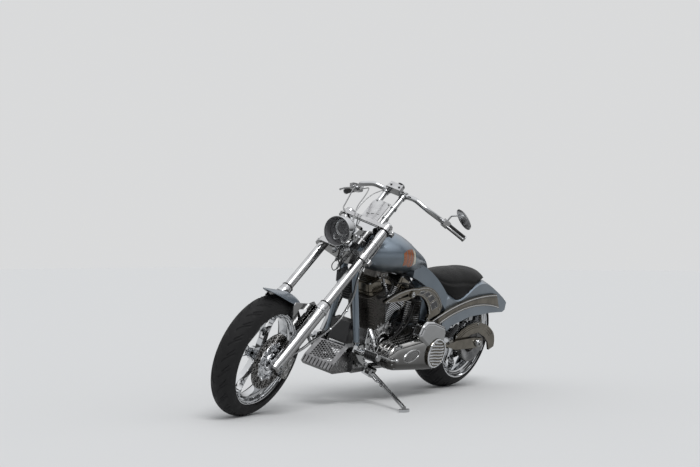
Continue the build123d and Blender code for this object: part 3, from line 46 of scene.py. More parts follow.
# The bike is drawn upright in millimetres, X forward, Y left, Z up, and set into its lean here
stance = {"lean": 14.0, "pitch": 0.278, "lift": 3.72, "rake": 45.0, "turn": 10.0, "wheelbase": 1780.0,
          "frontAxle": 320.0, "rearAxle": 328.0, "forkOffset": 50.0}
xWay, yWay, zWay = Vector((1, 0, 0)), Vector((0, 1, 0)), Vector((0, 0, 1))
joints = {joint["name"]: joint for joint in frame["joints"]}
leaned = (Matrix.Translation((0, 0, stance["lift"] / 1000)) @ Matrix.Rotation(radians(-stance["lean"]), 4, "X")
          @ Matrix.Rotation(radians(stance["pitch"]), 4, "Y") @ Matrix.Scale(0.001, 4))
moveOver = Vector(joints["rear_wheel_spin"]["pos_m"]) - leaned @ Vector((0, 0, stance["rearAxle"]))
bike = Matrix.Translation(moveOver) @ leaned
rake = radians(stance["rake"])
stemUp, stemAhead = Vector((-sin(rake), 0, cos(rake))), Vector((cos(rake), 0, sin(rake)))
frontHub, rearHub = Vector((stance["wheelbase"], 0, stance["frontAxle"])), Vector((0, 0, stance["rearAxle"]))
stemFoot = frontHub - stemAhead * stance["forkOffset"]
turned = (bike @ Matrix.Translation(stemFoot) @ Matrix.Rotation(radians(stance["turn"]), 4, stemUp)
          @ Matrix.Translation(-stemFoot))
# In the fork's own frame: X ahead of the legs, Y left, Z up the legs from the axle
forkAxes = Matrix(((stemAhead.x, 0, stemUp.x), (0, 1, 0), (stemAhead.z, 0, stemUp.z))).to_4x4()
fork = turned @ Matrix.Translation(frontHub) @ forkAxes
# A piece's body and the frame that it is drawn in
rides = {"chassis": ("chassis", bike), "stand": ("stand_leg", bike), "steered": ("steering_assembly", turned),
         "fork": ("steering_assembly", fork), "frontWheel": ("front_wheel_assembly", turned),
         "rearWheel": ("rear_wheel_assembly", bike)}


def added(name, data):
    thing = bpy.data.objects.new(name, data)
    bpy.context.scene.collection.objects.link(thing)
    return thing


# Camera, set where the photograph was taken
view = {"spot": (6.4131, 4.125, 0.79), "heading": 216.85, "up": 1.07, "focal": 63.73}
heading, rise = radians(view["heading"]), radians(view["up"])
camera = added("camera", bpy.data.cameras.new("camera"))
camera.data.lens = view["focal"]
camera.data.sensor_width = 36.0
camera.location = Vector(view["spot"]) + Vector((moveOver.x, moveOver.y, 0))
sight = Vector((cos(heading) * cos(rise), sin(heading) * cos(rise), sin(rise)))
camera.rotation_euler = sight.to_track_quat("-Z", "Y").to_euler()
bpy.context.scene.camera = camera
print("camera set")


# Materials
def fill(node, values=None, links=None):
    # sets a node's sockets and feeds the others
    for socket, value in (values or {}).items():
        node.inputs[socket].default_value = value
    for socket, source in (links or {}).items():
        node.id_data.links.new(source, node.inputs[socket])
    return node


def setUpMaterial(name):
    material = bpy.data.materials.new(name)
    material.use_nodes = True
    tree = material.node_tree
    return material, tree, tree.nodes["Principled BSDF"], tree.nodes.new("ShaderNodeTexCoord").outputs["Object"]


def noiseNode(tree, coords, scale, detail=4.0, stretch=None):
    if stretch:
        coords = fill(tree.nodes.new("ShaderNodeMapping"), {"Scale": stretch}, {"Vector": coords}).outputs["Vector"]
    values = {"Scale": scale, "Detail": detail, "Roughness": 0.55}
    return fill(tree.nodes.new("ShaderNodeTexNoise"), values, {"Vector": coords}).outputs["Fac"]


def spread(tree, value, low, high, fromLow=0.35, fromHigh=0.65):
    values = {"From Min": fromLow, "From Max": fromHigh, "To Min": low, "To Max": high}
    return fill(tree.nodes.new("ShaderNodeMapRange"), values, {"Value": value}).outputs["Result"]


def colorMix(tree, values=None, links=None, way="MIX"):
    node = tree.nodes.new("ShaderNodeMix")
    node.data_type = "RGBA"
    node.blend_type = way
    return fill(node, values, links).outputs["Result"]


def blendColors(tree, value, first, second):
    return colorMix(tree, {"A": (*first, 1), "B": (*second, 1)}, {"Factor": value})


def bumpFrom(tree, shader, value, strength, distance):
    bump = fill(tree.nodes.new("ShaderNodeBump"), {"Strength": strength, "Distance": distance}, {"Height": value})
    fill(shader, links={"Normal": bump.outputs["Normal"]})


metals = {
    # colour, duller colour in the smudges, least and most roughness, grain, bump, the bump's grain, and how much of the
    # colour is left in the painted shade where the metal faces down
    "chrome": ((0.62, 0.63, 0.645), (0.57, 0.58, 0.59), (0.03, 0.09), 14.0, 0.02, 45.0, 0.36),
    "coverChrome": ((0.56, 0.555, 0.545), (0.47, 0.465, 0.455), (0.04, 0.10), 14.0, 0.02, 45.0, 0.13),
    "rimChrome": ((0.60, 0.61, 0.625), (0.54, 0.55, 0.56), (0.03, 0.09), 14.0, 0.02, 45.0, 1.0),
    "mirrorGlass": ((0.72, 0.74, 0.76), (0.68, 0.70, 0.72), (0.01, 0.03), 8.0, 0.004, 30.0, 1.0),
    "reflector": ((0.70, 0.71, 0.72), (0.60, 0.61, 0.62), (0.20, 0.30), 20.0, 0.02, 60.0, 1.0),
    "bronzeChrome": ((0.235, 0.215, 0.18), (0.16, 0.145, 0.12), (0.10, 0.20), 18.0, 0.03, 60.0, 0.55),
    "polishedAlloy": ((0.56, 0.565, 0.57), (0.46, 0.46, 0.47), (0.14, 0.24), 22.0, 0.03, 160.0, 0.42),
    "castAlloy": ((0.46, 0.465, 0.47), (0.34, 0.34, 0.35), (0.24, 0.40), 120.0, 0.25, 900.0, 0.55),
    "finAlloy": ((0.20, 0.19, 0.18), (0.12, 0.115, 0.11), (0.26, 0.42), 90.0, 0.18, 800.0, 0.7),
    "discSteel": ((0.24, 0.235, 0.23), (0.15, 0.145, 0.14), (0.16, 0.30), 26.0, 0.05, 300.0, 1.0),
    "grilleSteel": ((0.27, 0.27, 0.275), (0.18, 0.18, 0.185), (0.20, 0.34), 26.0, 0.05, 300.0, 0.5),
    "braid": ((0.46, 0.465, 0.47), (0.20, 0.20, 0.205), (0.26, 0.40), 420.0, 0.5, 1500.0, 0.7),
    "brushedSteel": ((0.50, 0.505, 0.51), (0.38, 0.38, 0.39), (0.18, 0.36), 30.0, 0.06, 260.0, 0.6),
}
metalCare = {"brushStretch": (1.0, 1.0, 14.0), "reflectorMetallic": 0.25}


def paintedShadeBelow(tree, color, keptPart):
    # painted shade and painted reflection of a dark ground: the faces that look down get a darker colour
    facing = tree.nodes.new("ShaderNodeTexCoord").outputs["Normal"]
    height = fill(tree.nodes.new("ShaderNodeSeparateXYZ"), links={"Vector": facing}).outputs["Z"]
    shadeTint = {"Factor": 1.0, "B": (keptPart, keptPart * 0.985, keptPart * 0.95, 1)}
    darker = colorMix(tree, shadeTint, {"A": color}, "MULTIPLY")
    return colorMix(tree, links={"Factor": spread(tree, height, 0, 1, -0.34, 0.16), "A": darker, "B": color})


def surface(name, colors, rough, grain, values=None, bump=None, fade=(0.35, 0.65), under=1.0, stretch=None):
    # two colours and two roughnesses in soft clouds, with bump as (grain, detail, strength, distance)
    material, tree, shader, coords = setUpMaterial(name)
    cloud = noiseNode(tree, coords, grain, stretch=stretch)
    mixed = blendColors(tree, spread(tree, cloud, 0, 1, *fade), *colors)
    # where under is below 1, the faces that look down are darkened: painted shade
    if under < 1:
        mixed = paintedShadeBelow(tree, mixed, under)
    fill(shader, values, {"Roughness": spread(tree, cloud, *rough), "Base Color": mixed})
    if bump:
        fine, detail, strength, distance = bump
        bumpFrom(tree, shader, noiseNode(tree, coords, fine, detail), strength, distance)
    return material


def metal(name):
    color, dull, rough, grain, strength, fine, under = metals[name]
    metallic = metalCare["reflectorMetallic"] if name == "reflector" else 1.0
    stretch = metalCare["brushStretch"] if name == "brushedSteel" else None
    return surface(name, (color, dull), rough, grain, {"Metallic": metallic}, (fine, 2.0, strength, 0.0004),
                   under=under, stretch=stretch)


def metallicPaint(name, color, deep):
    material, tree, shader, coords = setUpMaterial(name)
    flakes = fill(tree.nodes.new("ShaderNodeTexVoronoi"), {"Scale": 2600.0}, {"Vector": coords})
    cloud = noiseNode(tree, coords, 5.0, detail=2.0)
    shade = tree.nodes.new("ShaderNodeMath")
    shade.operation = "MULTIPLY_ADD"
    fill(shade, {1: 0.55}, {0: flakes.outputs["Distance"], 2: spread(tree, cloud, 0.0, 0.35)})
    mixed = blendColors(tree, shade.outputs[0], color, deep)
    # the paint is darkened where it faces down: painted shade
    fill(shader, {"Metallic": 0.85, "Coat Weight": 0.55, "Coat Roughness": 0.2},
         {"Base Color": paintedShadeBelow(tree, mixed, 0.5), "Roughness": spread(tree, cloud, 0.32, 0.38)})
    return material


def rubber(name, color=(0.006, 0.006, 0.0065), rough=(0.58, 0.80)):
    dusty = tuple(channel * 1.6 + 0.004 for channel in color)
    return surface(name, (color, dusty), rough, 26.0, {"Specular IOR Level": 0.3}, (900.0, 4.0, 0.25, 0.0006),
                   (0.5, 0.75))


def leather(name):
    material, tree, shader, coords = setUpMaterial(name)
    cells = tree.nodes.new("ShaderNodeTexVoronoi")
    cells.feature = "DISTANCE_TO_EDGE"
    fill(cells, {"Scale": 520.0}, {"Vector": coords})
    cloud = noiseNode(tree, coords, 14.0)
    fill(shader, {"Specular IOR Level": 0.16}, {"Roughness": spread(tree, cloud, 0.36, 0.48), "Base Color": blendColors(
        tree, spread(tree, cloud, 0, 1), (0.0016, 0.0016, 0.0019), (0.0034, 0.0034, 0.0034))})
    bumpFrom(tree, shader, spread(tree, cells.outputs["Distance"], 0, 1, 0.0, 0.12), 0.35, 0.0008)
    return material


def satin(name, color, rough=(0.22, 0.34)):
    worn = tuple(min(1.0, channel * 1.5 + 0.004) for channel in color)
    return surface(name, (color, worn), rough, 60.0, None, (700.0, 4.0, 0.12, 0.0004), (0, 1))


def clearLens(name):
    # a thin sheet that light passes straight through
    material, tree, shader, coords = setUpMaterial(name)
    fill(shader, {"Base Color": (0.03, 0.03, 0.033, 1), "Alpha": 0.16},
         {"Roughness": spread(tree, noiseNode(tree, coords, 30.0), 0.02, 0.06)})
    return material


finishes = {name: metal(name) for name in metals}
finishes["paint"] = metallicPaint("paint", (0.27, 0.325, 0.385), (0.16, 0.20, 0.245))
finishes["tyreRubber"] = rubber("tyreRubber")
finishes["gripRubber"] = rubber("gripRubber", (0.012, 0.012, 0.012), (0.45, 0.62))
finishes["leather"] = leather("leather")
finishes["lens"] = clearLens("lens")
finishes["dial"] = surface("dial", ((0.012, 0.012, 0.013), (0.05, 0.05, 0.052)), (0.2, 0.35), 300.0)
finishes["satinBlack"] = satin("satinBlack", (0.014, 0.014, 0.015), (0.30, 0.48))
finishes["lampPlate"] = satin("lampPlate", (0.11, 0.11, 0.115), (0.26, 0.40))
for name, color in (("badgeOrange", (0.19, 0.055, 0.015)), ("badgeCream", (0.36, 0.33, 0.27)),
                    ("badgeTeal", (0.03, 0.12, 0.13))):
    finishes[name] = satin(name, color)

# What each CAD node is finished in
nodeFinish = {
    "rimChrome": "front_wheel rear_wheel",
    "chrome": "front_axle rear_axle fork_cover headlight risers handlebar mirror_left fender_brackets primary_cover "
              "ribbed_cover transmission_cover exhaust air_cleaner foot_controls stand_bracket side_stand cradle",
    "bronzeChrome": "tail_strakes arch_cover belt_guard rocker_boxes swingarm",
    "polishedAlloy": "fork_legs fork_trees instruments hand_controls rear_caliper front_caliper",
    "grilleSteel": "chin_grille rear_pulley",
    "castAlloy": "engine_cases",
    "finAlloy": "cylinders",
    "brushedSteel": "front_disc rear_disc",
    "paint": "tank side_spars rear_fender front_fender down_tubes",
    "satinBlack": "neck backbone electrics passenger_pegs",
    "tyreRubber": "front_tyre rear_tyre",
    "gripRubber": "grips hand_cables front_hoses",
    "leather": "seat",
    "lens": "headlight_lens",
}
for look, group in nodeFinish.items():
    for name in group.split():
        nodes[name].data.materials.clear()
        nodes[name].data.materials.append(finishes[look])
print("finishes made")

# Floor, backdrop and light: one soft lamp and an even sky, with the backdrop as bright as the lit floor
studio = {
    "floorColor": (0.70, 0.705, 0.71), "floorHalf": 60.0, "skyColor": (0.97, 0.985, 1.0), "skyLight": 0.66,
    "sunLight": 1.35, "sunFrom": (2.4, 3.2, 5.0), "sunAngle": 26.0,
    "gloss": [(0.0, 0.05), (0.10, 0.10), (0.22, 0.42), (0.42, 0.72), (0.68, 0.95), (1.0, 1.10)],
}
floorMaterial, _, floorShader, _ = setUpMaterial("floor")
fill(floorShader, {"Base Color": (*studio["floorColor"], 1), "Roughness": 1.0, "Specular IOR Level": 0.0})
floorMesh = bpy.data.meshes.new("floor")
floorMesh.from_pydata([(x * studio["floorHalf"], y * studio["floorHalf"], 0) for x, y in
                       ((-1, -1), (1, -1), (1, 1), (-1, 1))], [], [(0, 1, 2, 3)])
floorMesh.materials.append(floorMaterial)
floor = added("floor", floorMesh)

sunWay = Vector(studio["sunFrom"]).normalized()
lit = studio["skyLight"] + studio["sunLight"] * sunWay.z / pi
world = bpy.data.worlds.new("studio")
bpy.context.scene.world = world
world.use_nodes = True
sky = world.node_tree.nodes
evenSky = fill(sky["Background"], {"Color": (*studio["skyColor"], 1), "Strength": studio["skyLight"]})
# mirrored in the metals: dark at the ground, pale overhead
height = fill(sky.new("ShaderNodeSeparateXYZ"), links={"Vector": sky.new("ShaderNodeTexCoord").outputs["Generated"]})
ramp = fill(sky.new("ShaderNodeValToRGB"), links={"Fac": height.outputs["Z"]})
while len(ramp.color_ramp.elements) < len(studio["gloss"]):
    ramp.color_ramp.elements.new(0.5)
for stop, (spot, shade) in zip(ramp.color_ramp.elements, studio["gloss"]):
    stop.position = spot
    stop.color = (shade, shade * 1.005, shade * 1.015, 1)
mirrored = fill(sky.new("ShaderNodeBackground"), links={"Color": ramp.outputs["Color"]})
behind = fill(sky.new("ShaderNodeBackground"), {"Color": (*(channel * lit for channel in studio["floorColor"]), 1)})
rays = sky.new("ShaderNodeLightPath").outputs
seen = sky.new("ShaderNodeMath")
seen.operation = "MAXIMUM"
fill(seen, None, {0: rays["Is Camera Ray"], 1: rays["Is Transmission Ray"]})
inGloss = fill(sky.new("ShaderNodeMixShader"), None, {0: rays["Is Glossy Ray"], 1: evenSky.outputs[0],
                                                      2: mirrored.outputs[0]})
inView = fill(sky.new("ShaderNodeMixShader"), None, {0: seen.outputs[0], 1: inGloss.outputs[0], 2: behind.outputs[0]})
fill(sky["World Output"], None, {"Surface": inView.outputs[0]})

sun = added("softLamp", bpy.data.lights.new("softLamp", "SUN"))
sun.data.energy = studio["sunLight"]
sun.data.angle = radians(studio["sunAngle"])
sun.rotation_euler = sunWay.to_track_quat("Z", "Y").to_euler()
bpy.context.scene.view_settings.view_transform = "Standard"
print("studio lit")


# Shape helpers: each adds to a bmesh in millimetres, and keep() sets it on the bike
def polar(radius, angle):
    return radius * cos(radians(angle)), radius * sin(radians(angle))


def circle(u, v, radius, steps=32):
    return [(u + radius * cos(2 * pi * i / steps), v + radius * sin(2 * pi * i / steps)) for i in range(steps)]


def ringSpots(middle, radius, count, start=0.0):
    # places around a middle that faces sideways
    return [Vector(middle) + xWay * across + zWay * up for across, up in
            (polar(radius, start + 360 * k / count) for k in range(count))]


def arcThrough(first, middle, last, steps=24):
    (ax, ay), (bx, by), (cx, cy) = first, middle, last
    d = 2 * (ax * (by - cy) + bx * (cy - ay) + cx * (ay - by))
    ux = ((ax * ax + ay * ay) * (by - cy) + (bx * bx + by * by) * (cy - ay) + (cx * cx + cy * cy) * (ay - by)) / d
    uy = ((ax * ax + ay * ay) * (cx - bx) + (bx * bx + by * by) * (ax - cx) + (cx * cx + cy * cy) * (bx - ax)) / d
    start, mid, stop = (atan2(y - uy, x - ux) for x, y in (first, middle, last))
    reach = hypot(ax - ux, ay - uy)
    turnTo = (stop - start) % (2 * pi)
    if (mid - start) % (2 * pi) > turnTo:
        turnTo -= 2 * pi
    return [(ux + reach * cos(start + turnTo * i / steps), uy + reach * sin(start + turnTo * i / steps))
            for i in range(steps + 1)]


def roundedBox(halfAcross, halfDeep, corner, steps=7):
    points = []
    for cu, cv, base in ((1, 1, 0), (-1, 1, 90), (-1, -1, 180), (1, -1, 270)):
        for k in range(steps):
            u, v = polar(corner, base + 90 * k / (steps - 1))
            points.append((cu * (halfAcross - corner) + u, cv * (halfDeep - corner) + v))
    return points


def turn(shape, profile, spot, way, steps=64, closed=False):
    # a turned form: profile as (along, radius) from spot along way
    way = Vector(way).normalized()
    side = way.orthogonal().normalized()
    other = way.cross(side)
    rings = []
    for step in range(steps):
        angle = 2 * pi * step / steps
        out = side * cos(angle) + other * sin(angle)
        rings.append([shape.verts.new(Vector(spot) + way * along + out * radius) for along, radius in profile])
    for here, there in zip(rings, rings[1:] + rings[:1]):
        for row in range(len(profile) if closed else len(profile) - 1):
            below = (row + 1) % len(profile)
            shape.faces.new((here[row], there[row], there[below], here[below]))


def loft(shape, rings, caps=True, wrap=False):
    rows = [[shape.verts.new(Vector(spot)) for spot in ring] for ring in rings]
    for first, second in zip(rows, rows[1:] + rows[:1] if wrap else rows[1:]):
        for i in range(len(first)):
            after = (i + 1) % len(first)
            shape.faces.new((first[i], first[after], second[after], second[i]))
    if caps:
        shape.faces.new(rows[0][::-1])
        shape.faces.new(rows[-1])


def plate(shape, outline, depth, place, holes=()):
    # outline as (across, up), raised along the third axis of place by depth
    edges = []
    for loop in (outline, *holes):
        corners = [shape.verts.new(place @ Vector((u, v, 0))) for u, v in loop]
        edges += [shape.edges.new((corners[i - 1], corners[i])) for i in range(len(corners))]
    filled = bmesh.ops.triangle_fill(shape, edges=edges, use_beauty=True)
    faces = [item for item in filled["geom"] if isinstance(item, bmesh.types.BMFace)]
    bmesh.ops.dissolve_limit(shape, angle_limit=0.01, verts=list({v for f in faces for v in f.verts}), edges=[])
    faces = list({face for edge in edges if edge.is_valid for face in edge.link_faces})
    raised = bmesh.ops.extrude_face_region(shape, geom=faces)
    shift = (place.to_3x3() @ zWay) * depth
    bmesh.ops.translate(shape, vec=shift, verts=[v for v in raised["geom"] if isinstance(v, bmesh.types.BMVert)])


def sidePlace(x, y, z, out=1):
    # across runs forward, up is up, and out is to the left (1) or right (-1)
    return Matrix(((1, 0, 0, x), (0, 0, out, y), (0, 1, 0, z), (0, 0, 0, 1)))


def bolt(shape, spot, way, radius=6.0, height=5.0, kind="cap"):
    # cap: socket-headed screw with its hexagonal recess; hex: nut-like head on a washer; dome: acorn
    heads = {
        "cap": (([(0, 1), (0.8, 1), (1, 0.86), (1, 0.55)], 20), ([(1, 0.55), (0.35, 0.5), (0.35, 0)], 6)),
        "hex": (([(0, 1.35), (0.22, 1.35), (0.22, 0.7)], 20), ([(0.22, 1), (0.9, 1), (1, 0.86), (1, 0)], 6)),
        "dome": (([(0, 1.25), (0.2, 1.2), (0.25, 1)], 20), ([(0.2, 1), (0.6, 0.95), (0.9, 0.6), (1, 0)], 20)),
    }
    for profile, steps in heads[kind]:
        turn(shape, [(height * along, radius * out) for along, out in profile], spot, way, steps)


def bolts(shape, spots, way, radius=6.0, height=5.0, kind="cap"):
    for spot in spots:
        bolt(shape, spot, way, radius, height, kind)


def keep(shape, name, look, ride="chassis", crease=38.0, bevel=0.0, stands=()):
    body, at = rides[ride]
    bmesh.ops.remove_doubles(shape, verts=shape.verts, dist=0.002)
    bmesh.ops.dissolve_degenerate(shape, edges=shape.edges, dist=0.002)
    bmesh.ops.recalc_face_normals(shape, faces=shape.faces)
    bmesh.ops.transform(shape, matrix=at, verts=shape.verts)
    mesh = bpy.data.meshes.new(name)
    shape.to_mesh(mesh)
    shape.free()
    mesh.materials.append(finishes[look])
    mesh.shade_smooth()
    mesh.set_sharp_from_angle(angle=radians(crease))
    piece = added(name, mesh)
    if bevel:
        rounding = piece.modifiers.new("rounded edges", "BEVEL")
        rounding.width = bevel / 1000
        rounding.segments = 2
        rounding.limit_method = "ANGLE"
        rounding.angle_limit = radians(32)
    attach(piece, body)
    if stands:
        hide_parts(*stands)
    return piece


def cable(name, points, radius, look, ride="chassis", kind="NURBS", stands=()):
    body, at = rides[ride]
    data = bpy.data.curves.new(name, "CURVE")
    data.dimensions = "3D"
    data.bevel_depth = radius / 1000
    data.bevel_resolution = 4
    data.resolution_u = 8
    data.use_fill_caps = True
    line = data.splines.new(kind)
    line.points.add(len(points) - 1)
    for knot, spot in zip(line.points, points):
        knot.co = (*(at @ Vector(spot)), 1)
    if kind == "NURBS":
        line.order_u = 3
        line.use_endpoint_u = True
    data.materials.append(finishes[look])
    piece = added(name, data)
    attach(piece, body)
    if stands:
        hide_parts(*stands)


# Both ends: where their wheels turn and how wide they are
ends = {"front": {"hub": frontHub, "ride": "frontWheel", "radius": 320.0, "crown": 65.0, "half": 46.0, "flange": 245.0},
        "rear": {"hub": rearHub, "ride": "rearWheel", "radius": 328.0, "crown": 125.0, "half": 104.0, "flange": 245.0}}

# Tyres: a grid over the crown, with the sipes pressed into it
tyres = {"front": {"around": 900, "across": 64, "pitch": 24, "depth": 3.4, "width": 5.0},
         "rear": {"around": 840, "across": 84, "pitch": 20, "depth": 3.6, "width": 7.0}}
sipes = (  # from and to, slant and its power, shift, rise and fall at the ends, width, softness
    (0.07, 0.80, 1.05, 0.75, 0.0, 0.05, 0.08, 1.5, 0.55),
    (0.26, 0.72, 1.35, 1.0, 0.5, 0.05, 0.06, 1.1, 0.5),
)


def grooveDepth(spin, tilt, tyre):
    # spin in pitches of the pattern, tilt from -1 at one shoulder to 1 at the other
    reach = abs(tilt)
    halfWidth = tyre["width"] / (2 * pi * tyre["radius"] / tyre["pitch"])
    depth = 0.0
    for low, high, slant, power, shift, rise, fall, wide, soft in sipes:
        if low < reach < high:
            line = (spin + (0.5 if tilt < 0 else 0.0) + shift - slant * (reach - low) ** power) % 1.0
            taper = min(1.0, (reach - low) / rise, (high - reach) / fall)
            inside = (halfWidth * wide - min(line, 1 - line)) / (halfWidth * soft)
            depth = max(depth, taper * max(0.0, min(1.0, inside)))
    return depth


for name in ends:
    tyre = {**ends[name], **tyres[name]}
    ringRadius = tyre["radius"] - tyre["crown"]
    shoulder = acos((tyre["flange"] - ringRadius) / tyre["crown"]) - 0.02
    rows = []
    for i in range(tyre["around"]):
        angle = 2 * pi * i / tyre["around"]
        out = Vector((cos(angle), 0, sin(angle)))
        row = []
        for j in range(tyre["across"] + 1):
            slope = -shoulder + 2 * shoulder * j / tyre["across"]
            dent = grooveDepth(tyre["pitch"] * i / tyre["around"], slope / 1.18, tyre) * tyre["depth"]
            wave = abs(slope) - 1.36
            bead = 1.1 if 0.0 < wave < 0.05 or 0.12 < wave < 0.15 else 0.0
            reach = tyre["crown"] - 0.4 - dent - bead
            row.append(tyre["hub"] + out * (ringRadius + reach * cos(slope)) + Vector((0, reach * sin(slope), 0)))
        row += [tyre["hub"] + out * radius + Vector((0, side * tyre["half"], 0)) for side, radius in
                ((1, tyre["flange"] + 0.5), (1, 237.0), (-1, 237.0), (-1, tyre["flange"] + 0.5))]
        rows.append(row)
    shape = bmesh.new()
    loft(shape, rows, caps=False, wrap=True)
    keep(shape, name + "TyreTread", "tyreRubber", tyre["ride"], 28, stands=(name + "_tyre",))
print("tyres made")

# Wheels: stepped chrome rims and five forked, bowed spokes
wheels = {"front": {"start": 18.0, "root": 26.0, "fork": 47.0}, "rear": {"start": 40.0, "root": 30.0, "fork": 51.0}}
for name, wheel in wheels.items():
    hub, ride, half = ends[name]["hub"], ends[name]["ride"], ends[name]["half"]
    edge, flange = half + 7.0, ends[name]["flange"]
    outside = [(edge - 1, flange), (half, flange), (half, 237.0), (half - 12, 237.0), (half - 22, 216.0)]
    inside = [(edge, 243.5), (edge, 239.0), (edge - 2, 236.5), (edge - 6, 235.0), (half - 2, 233.5), (half - 4, 229.0),
              (half - 9, 227.0), (half - 12, 221.5), (half - 18, 219.0), (half - 24, 211.0), (half - 34, 208.5)]
    shape = bmesh.new()
    turn(shape, outside + [(-along, radius) for along, radius in outside[::-1] + inside] + inside[::-1], hub, yWay, 160,
         closed=True)
    keep(shape, name + "Rim", "rimChrome", ride, 30, stands=(name + "_wheel",))
    shape = bmesh.new()
    root, tips = wheel["root"], wheel["fork"]
    lower = [(34, -root), (90, -root + 7), (128, -root + 5), (168, -tips + 12), (209, -tips), (211.5, -tips + 16),
             (209.5, -tips + 24)]
    outline = lower + arcThrough((198, -tips + 24), (140, 0), (198, tips - 24), 14) + [(u, -v) for u, v in lower[::-1]]
    for index in range(5):
        plate(shape, outline, 30.0, Matrix.Translation((0, 15.0, 0)) @ Matrix.Translation(hub)
              @ Matrix.Rotation(-radians(wheel["start"] + 72 * index), 4, "Y") @ sidePlace(0, 0, 0, -1))
    for vert in shape.verts:
        reach = hypot(vert.co.x - hub.x, vert.co.z - hub.z)
        vert.co.y += (1 if vert.co.y > hub.y else -1) * (5.0 if reach > 190 else -2.0 if reach > 150 else 0.0)
    keep(shape, name + "Spokes", "rimChrome", ride, 40, bevel=5.0)
    shape = bmesh.new()
    swell = [(half - 1, 12.7), (half - 1, 30), (half - 5, 34), (26, 36), (20, 42)]
    turn(shape, [(-along, radius) for along, radius in swell] + swell[::-1], hub, yWay, 64, closed=True)
    valve = hub + Matrix.Rotation(-radians(wheel["start"] + 36), 3, "Y") @ Vector((209, 0, 0))
    turn(shape, [(0, 5), (9, 5), (10, 3.4), (30, 3.0), (31, 4.2), (38, 4.2), (40, 2.5), (40, 0)], valve,
         (hub - valve).normalized() + yWay * 0.25, 20)
    keep(shape, name + "Hub", "rimChrome", ride, 32)

# Brake discs: a drilled ring held by buttons on a scalloped carrier
discs = {"front": {"side": 1, "middle": 78.0}, "rear": {"side": -1, "middle": 150.0}}
drillRows = ((138, 0), (127, 5), (116, 10), (106, 3))
for name, disc in discs.items():
    hub, ride, side, middle = ends[name]["hub"], ends[name]["ride"], disc["side"], disc["middle"]
    holes = [circle(*polar(radius, 12 * k + shift), 3.6, 10) for k in range(30)
             for radius, shift in (drillRows[k % 4], drillRows[(k + 2) % 4])]
    shape = bmesh.new()
    plate(shape, circle(0, 0, 146.0, 120), 5.0, sidePlace(hub.x, side * (middle - 2.5), hub.z, side),
          [circle(0, 0, 96.0, 90), *holes])
    keep(shape, name + "DiscRing", "discSteel", ride, 30, stands=(name + "_disc",))
    shape = bmesh.new()
    scallops = [polar(reach, 36 * k + step - 16) for k in range(10)
                for step, reach in ((0, 93), (6, 95), (10, 92), (14, 78), (22, 78), (28, 92), (33, 95))]
    plate(shape, scallops, 6.0, sidePlace(hub.x, side * (middle - 4.5), hub.z, side),
          [circle(*polar(62, 36 * k), 11, 18) for k in range(10)])
    hubEnd = ends[name]["half"]
    turn(shape, [(hubEnd, 14), (hubEnd, 50), (middle - 6, 47), (middle - 2, 47), (middle + 4, 44), (middle + 8, 30),
                 (middle + 8, 14)], (hub.x, 0, hub.z), (0, side, 0), 64, closed=True)
    keep(shape, name + "DiscCarrier", "rimChrome", ride, 35, bevel=1.2)
    shape = bmesh.new()
    bolts(shape, ringSpots(hub + yWay * side * (middle + 1.5), 97.0, 10), (0, side, 0), 6.5, 4.0, "dome")
    bolts(shape, ringSpots(hub + yWay * side * (middle + 5), 38, 5, 20), (0, side, 0), 6.0, 6.0)
    keep(shape, name + "DiscButtons", "rimChrome", ride, 35)
print("wheels and discs made")

# Fork: cap nuts, dust seals, pinch bolts and the screws of the cover's ears
forkTrim = {"legY": 121.0, "capUp": 1006.0, "pinchBolts": [(743, 5), (757, 5), (967, 6.5)],
            "earScrews": [(33, 832), (33, 900)], "lampPin": (1320.1, 964.9)}
shape, seals = bmesh.new(), bmesh.new()
for side in (1, -1):
    legY = side * forkTrim["legY"]
    cap = (0, legY, forkTrim["capUp"])
    turn(shape, [(-9, 27.4), (-5, 26.6), (0, 23), (3.4, 17), (5, 11), (5, 8.5)], cap, zWay, 48)
    turn(shape, [(5, 8.5), (1, 8), (1, 0)], cap, zWay, 6)
    for into, height, profile in (
            (shape, 366, [(0, 31), (0, 34.5), (3, 35.5), (9, 35.5), (12, 34.5), (12, 31)]),
            (shape, 352, [(0, 31), (0, 33.4), (4, 33.4), (4, 31)]),
            (seals, 414.5, [(0, 23.5), (0, 29.5), (2, 31), (5, 31), (8, 29), (11, 25.2), (11, 23.5)]),
            (seals, 949.5, [(0, 26), (0, 28), (6, 28), (6, 26)])):
        turn(into, profile, (0, legY, height), zWay, 64 if into is shape else 56, closed=True)
    for height, radius in forkTrim["pinchBolts"]:
        bolt(shape, (2.5, side * 161, height), xWay, radius, radius)
        plate(seals, [(-1.2, -12), (1.2, -12), (1.2, 12), (-1.2, 12)], 0.8,
              sidePlace(-12, side * 170.7, 967 if height > 900 else 750, side))
    bolts(shape, [(28.5, legY, height) for height in (22, -16)], xWay, 5.5, 6)
    bolt(shape, (0, legY + side * 31, 70), (0, side, 0), 6, 3.5, "hex")
    bolts(shape, [(ahead, side * 88, height) for ahead, height in forkTrim["earScrews"]], (0, side, 0), 5.5, 4.5)
keep(shape, "forkTrim", "chrome", "fork", 34)
keep(seals, "forkSeals", "gripRubber", "fork", 34)
shape = bmesh.new()
for side in (1, -1):
    bolt(shape, (forkTrim["lampPin"][0], side * 88, forkTrim["lampPin"][1]), (0, side, 0), 10, 8, "dome")
keep(shape, "lampBolts", "chrome", "steered")

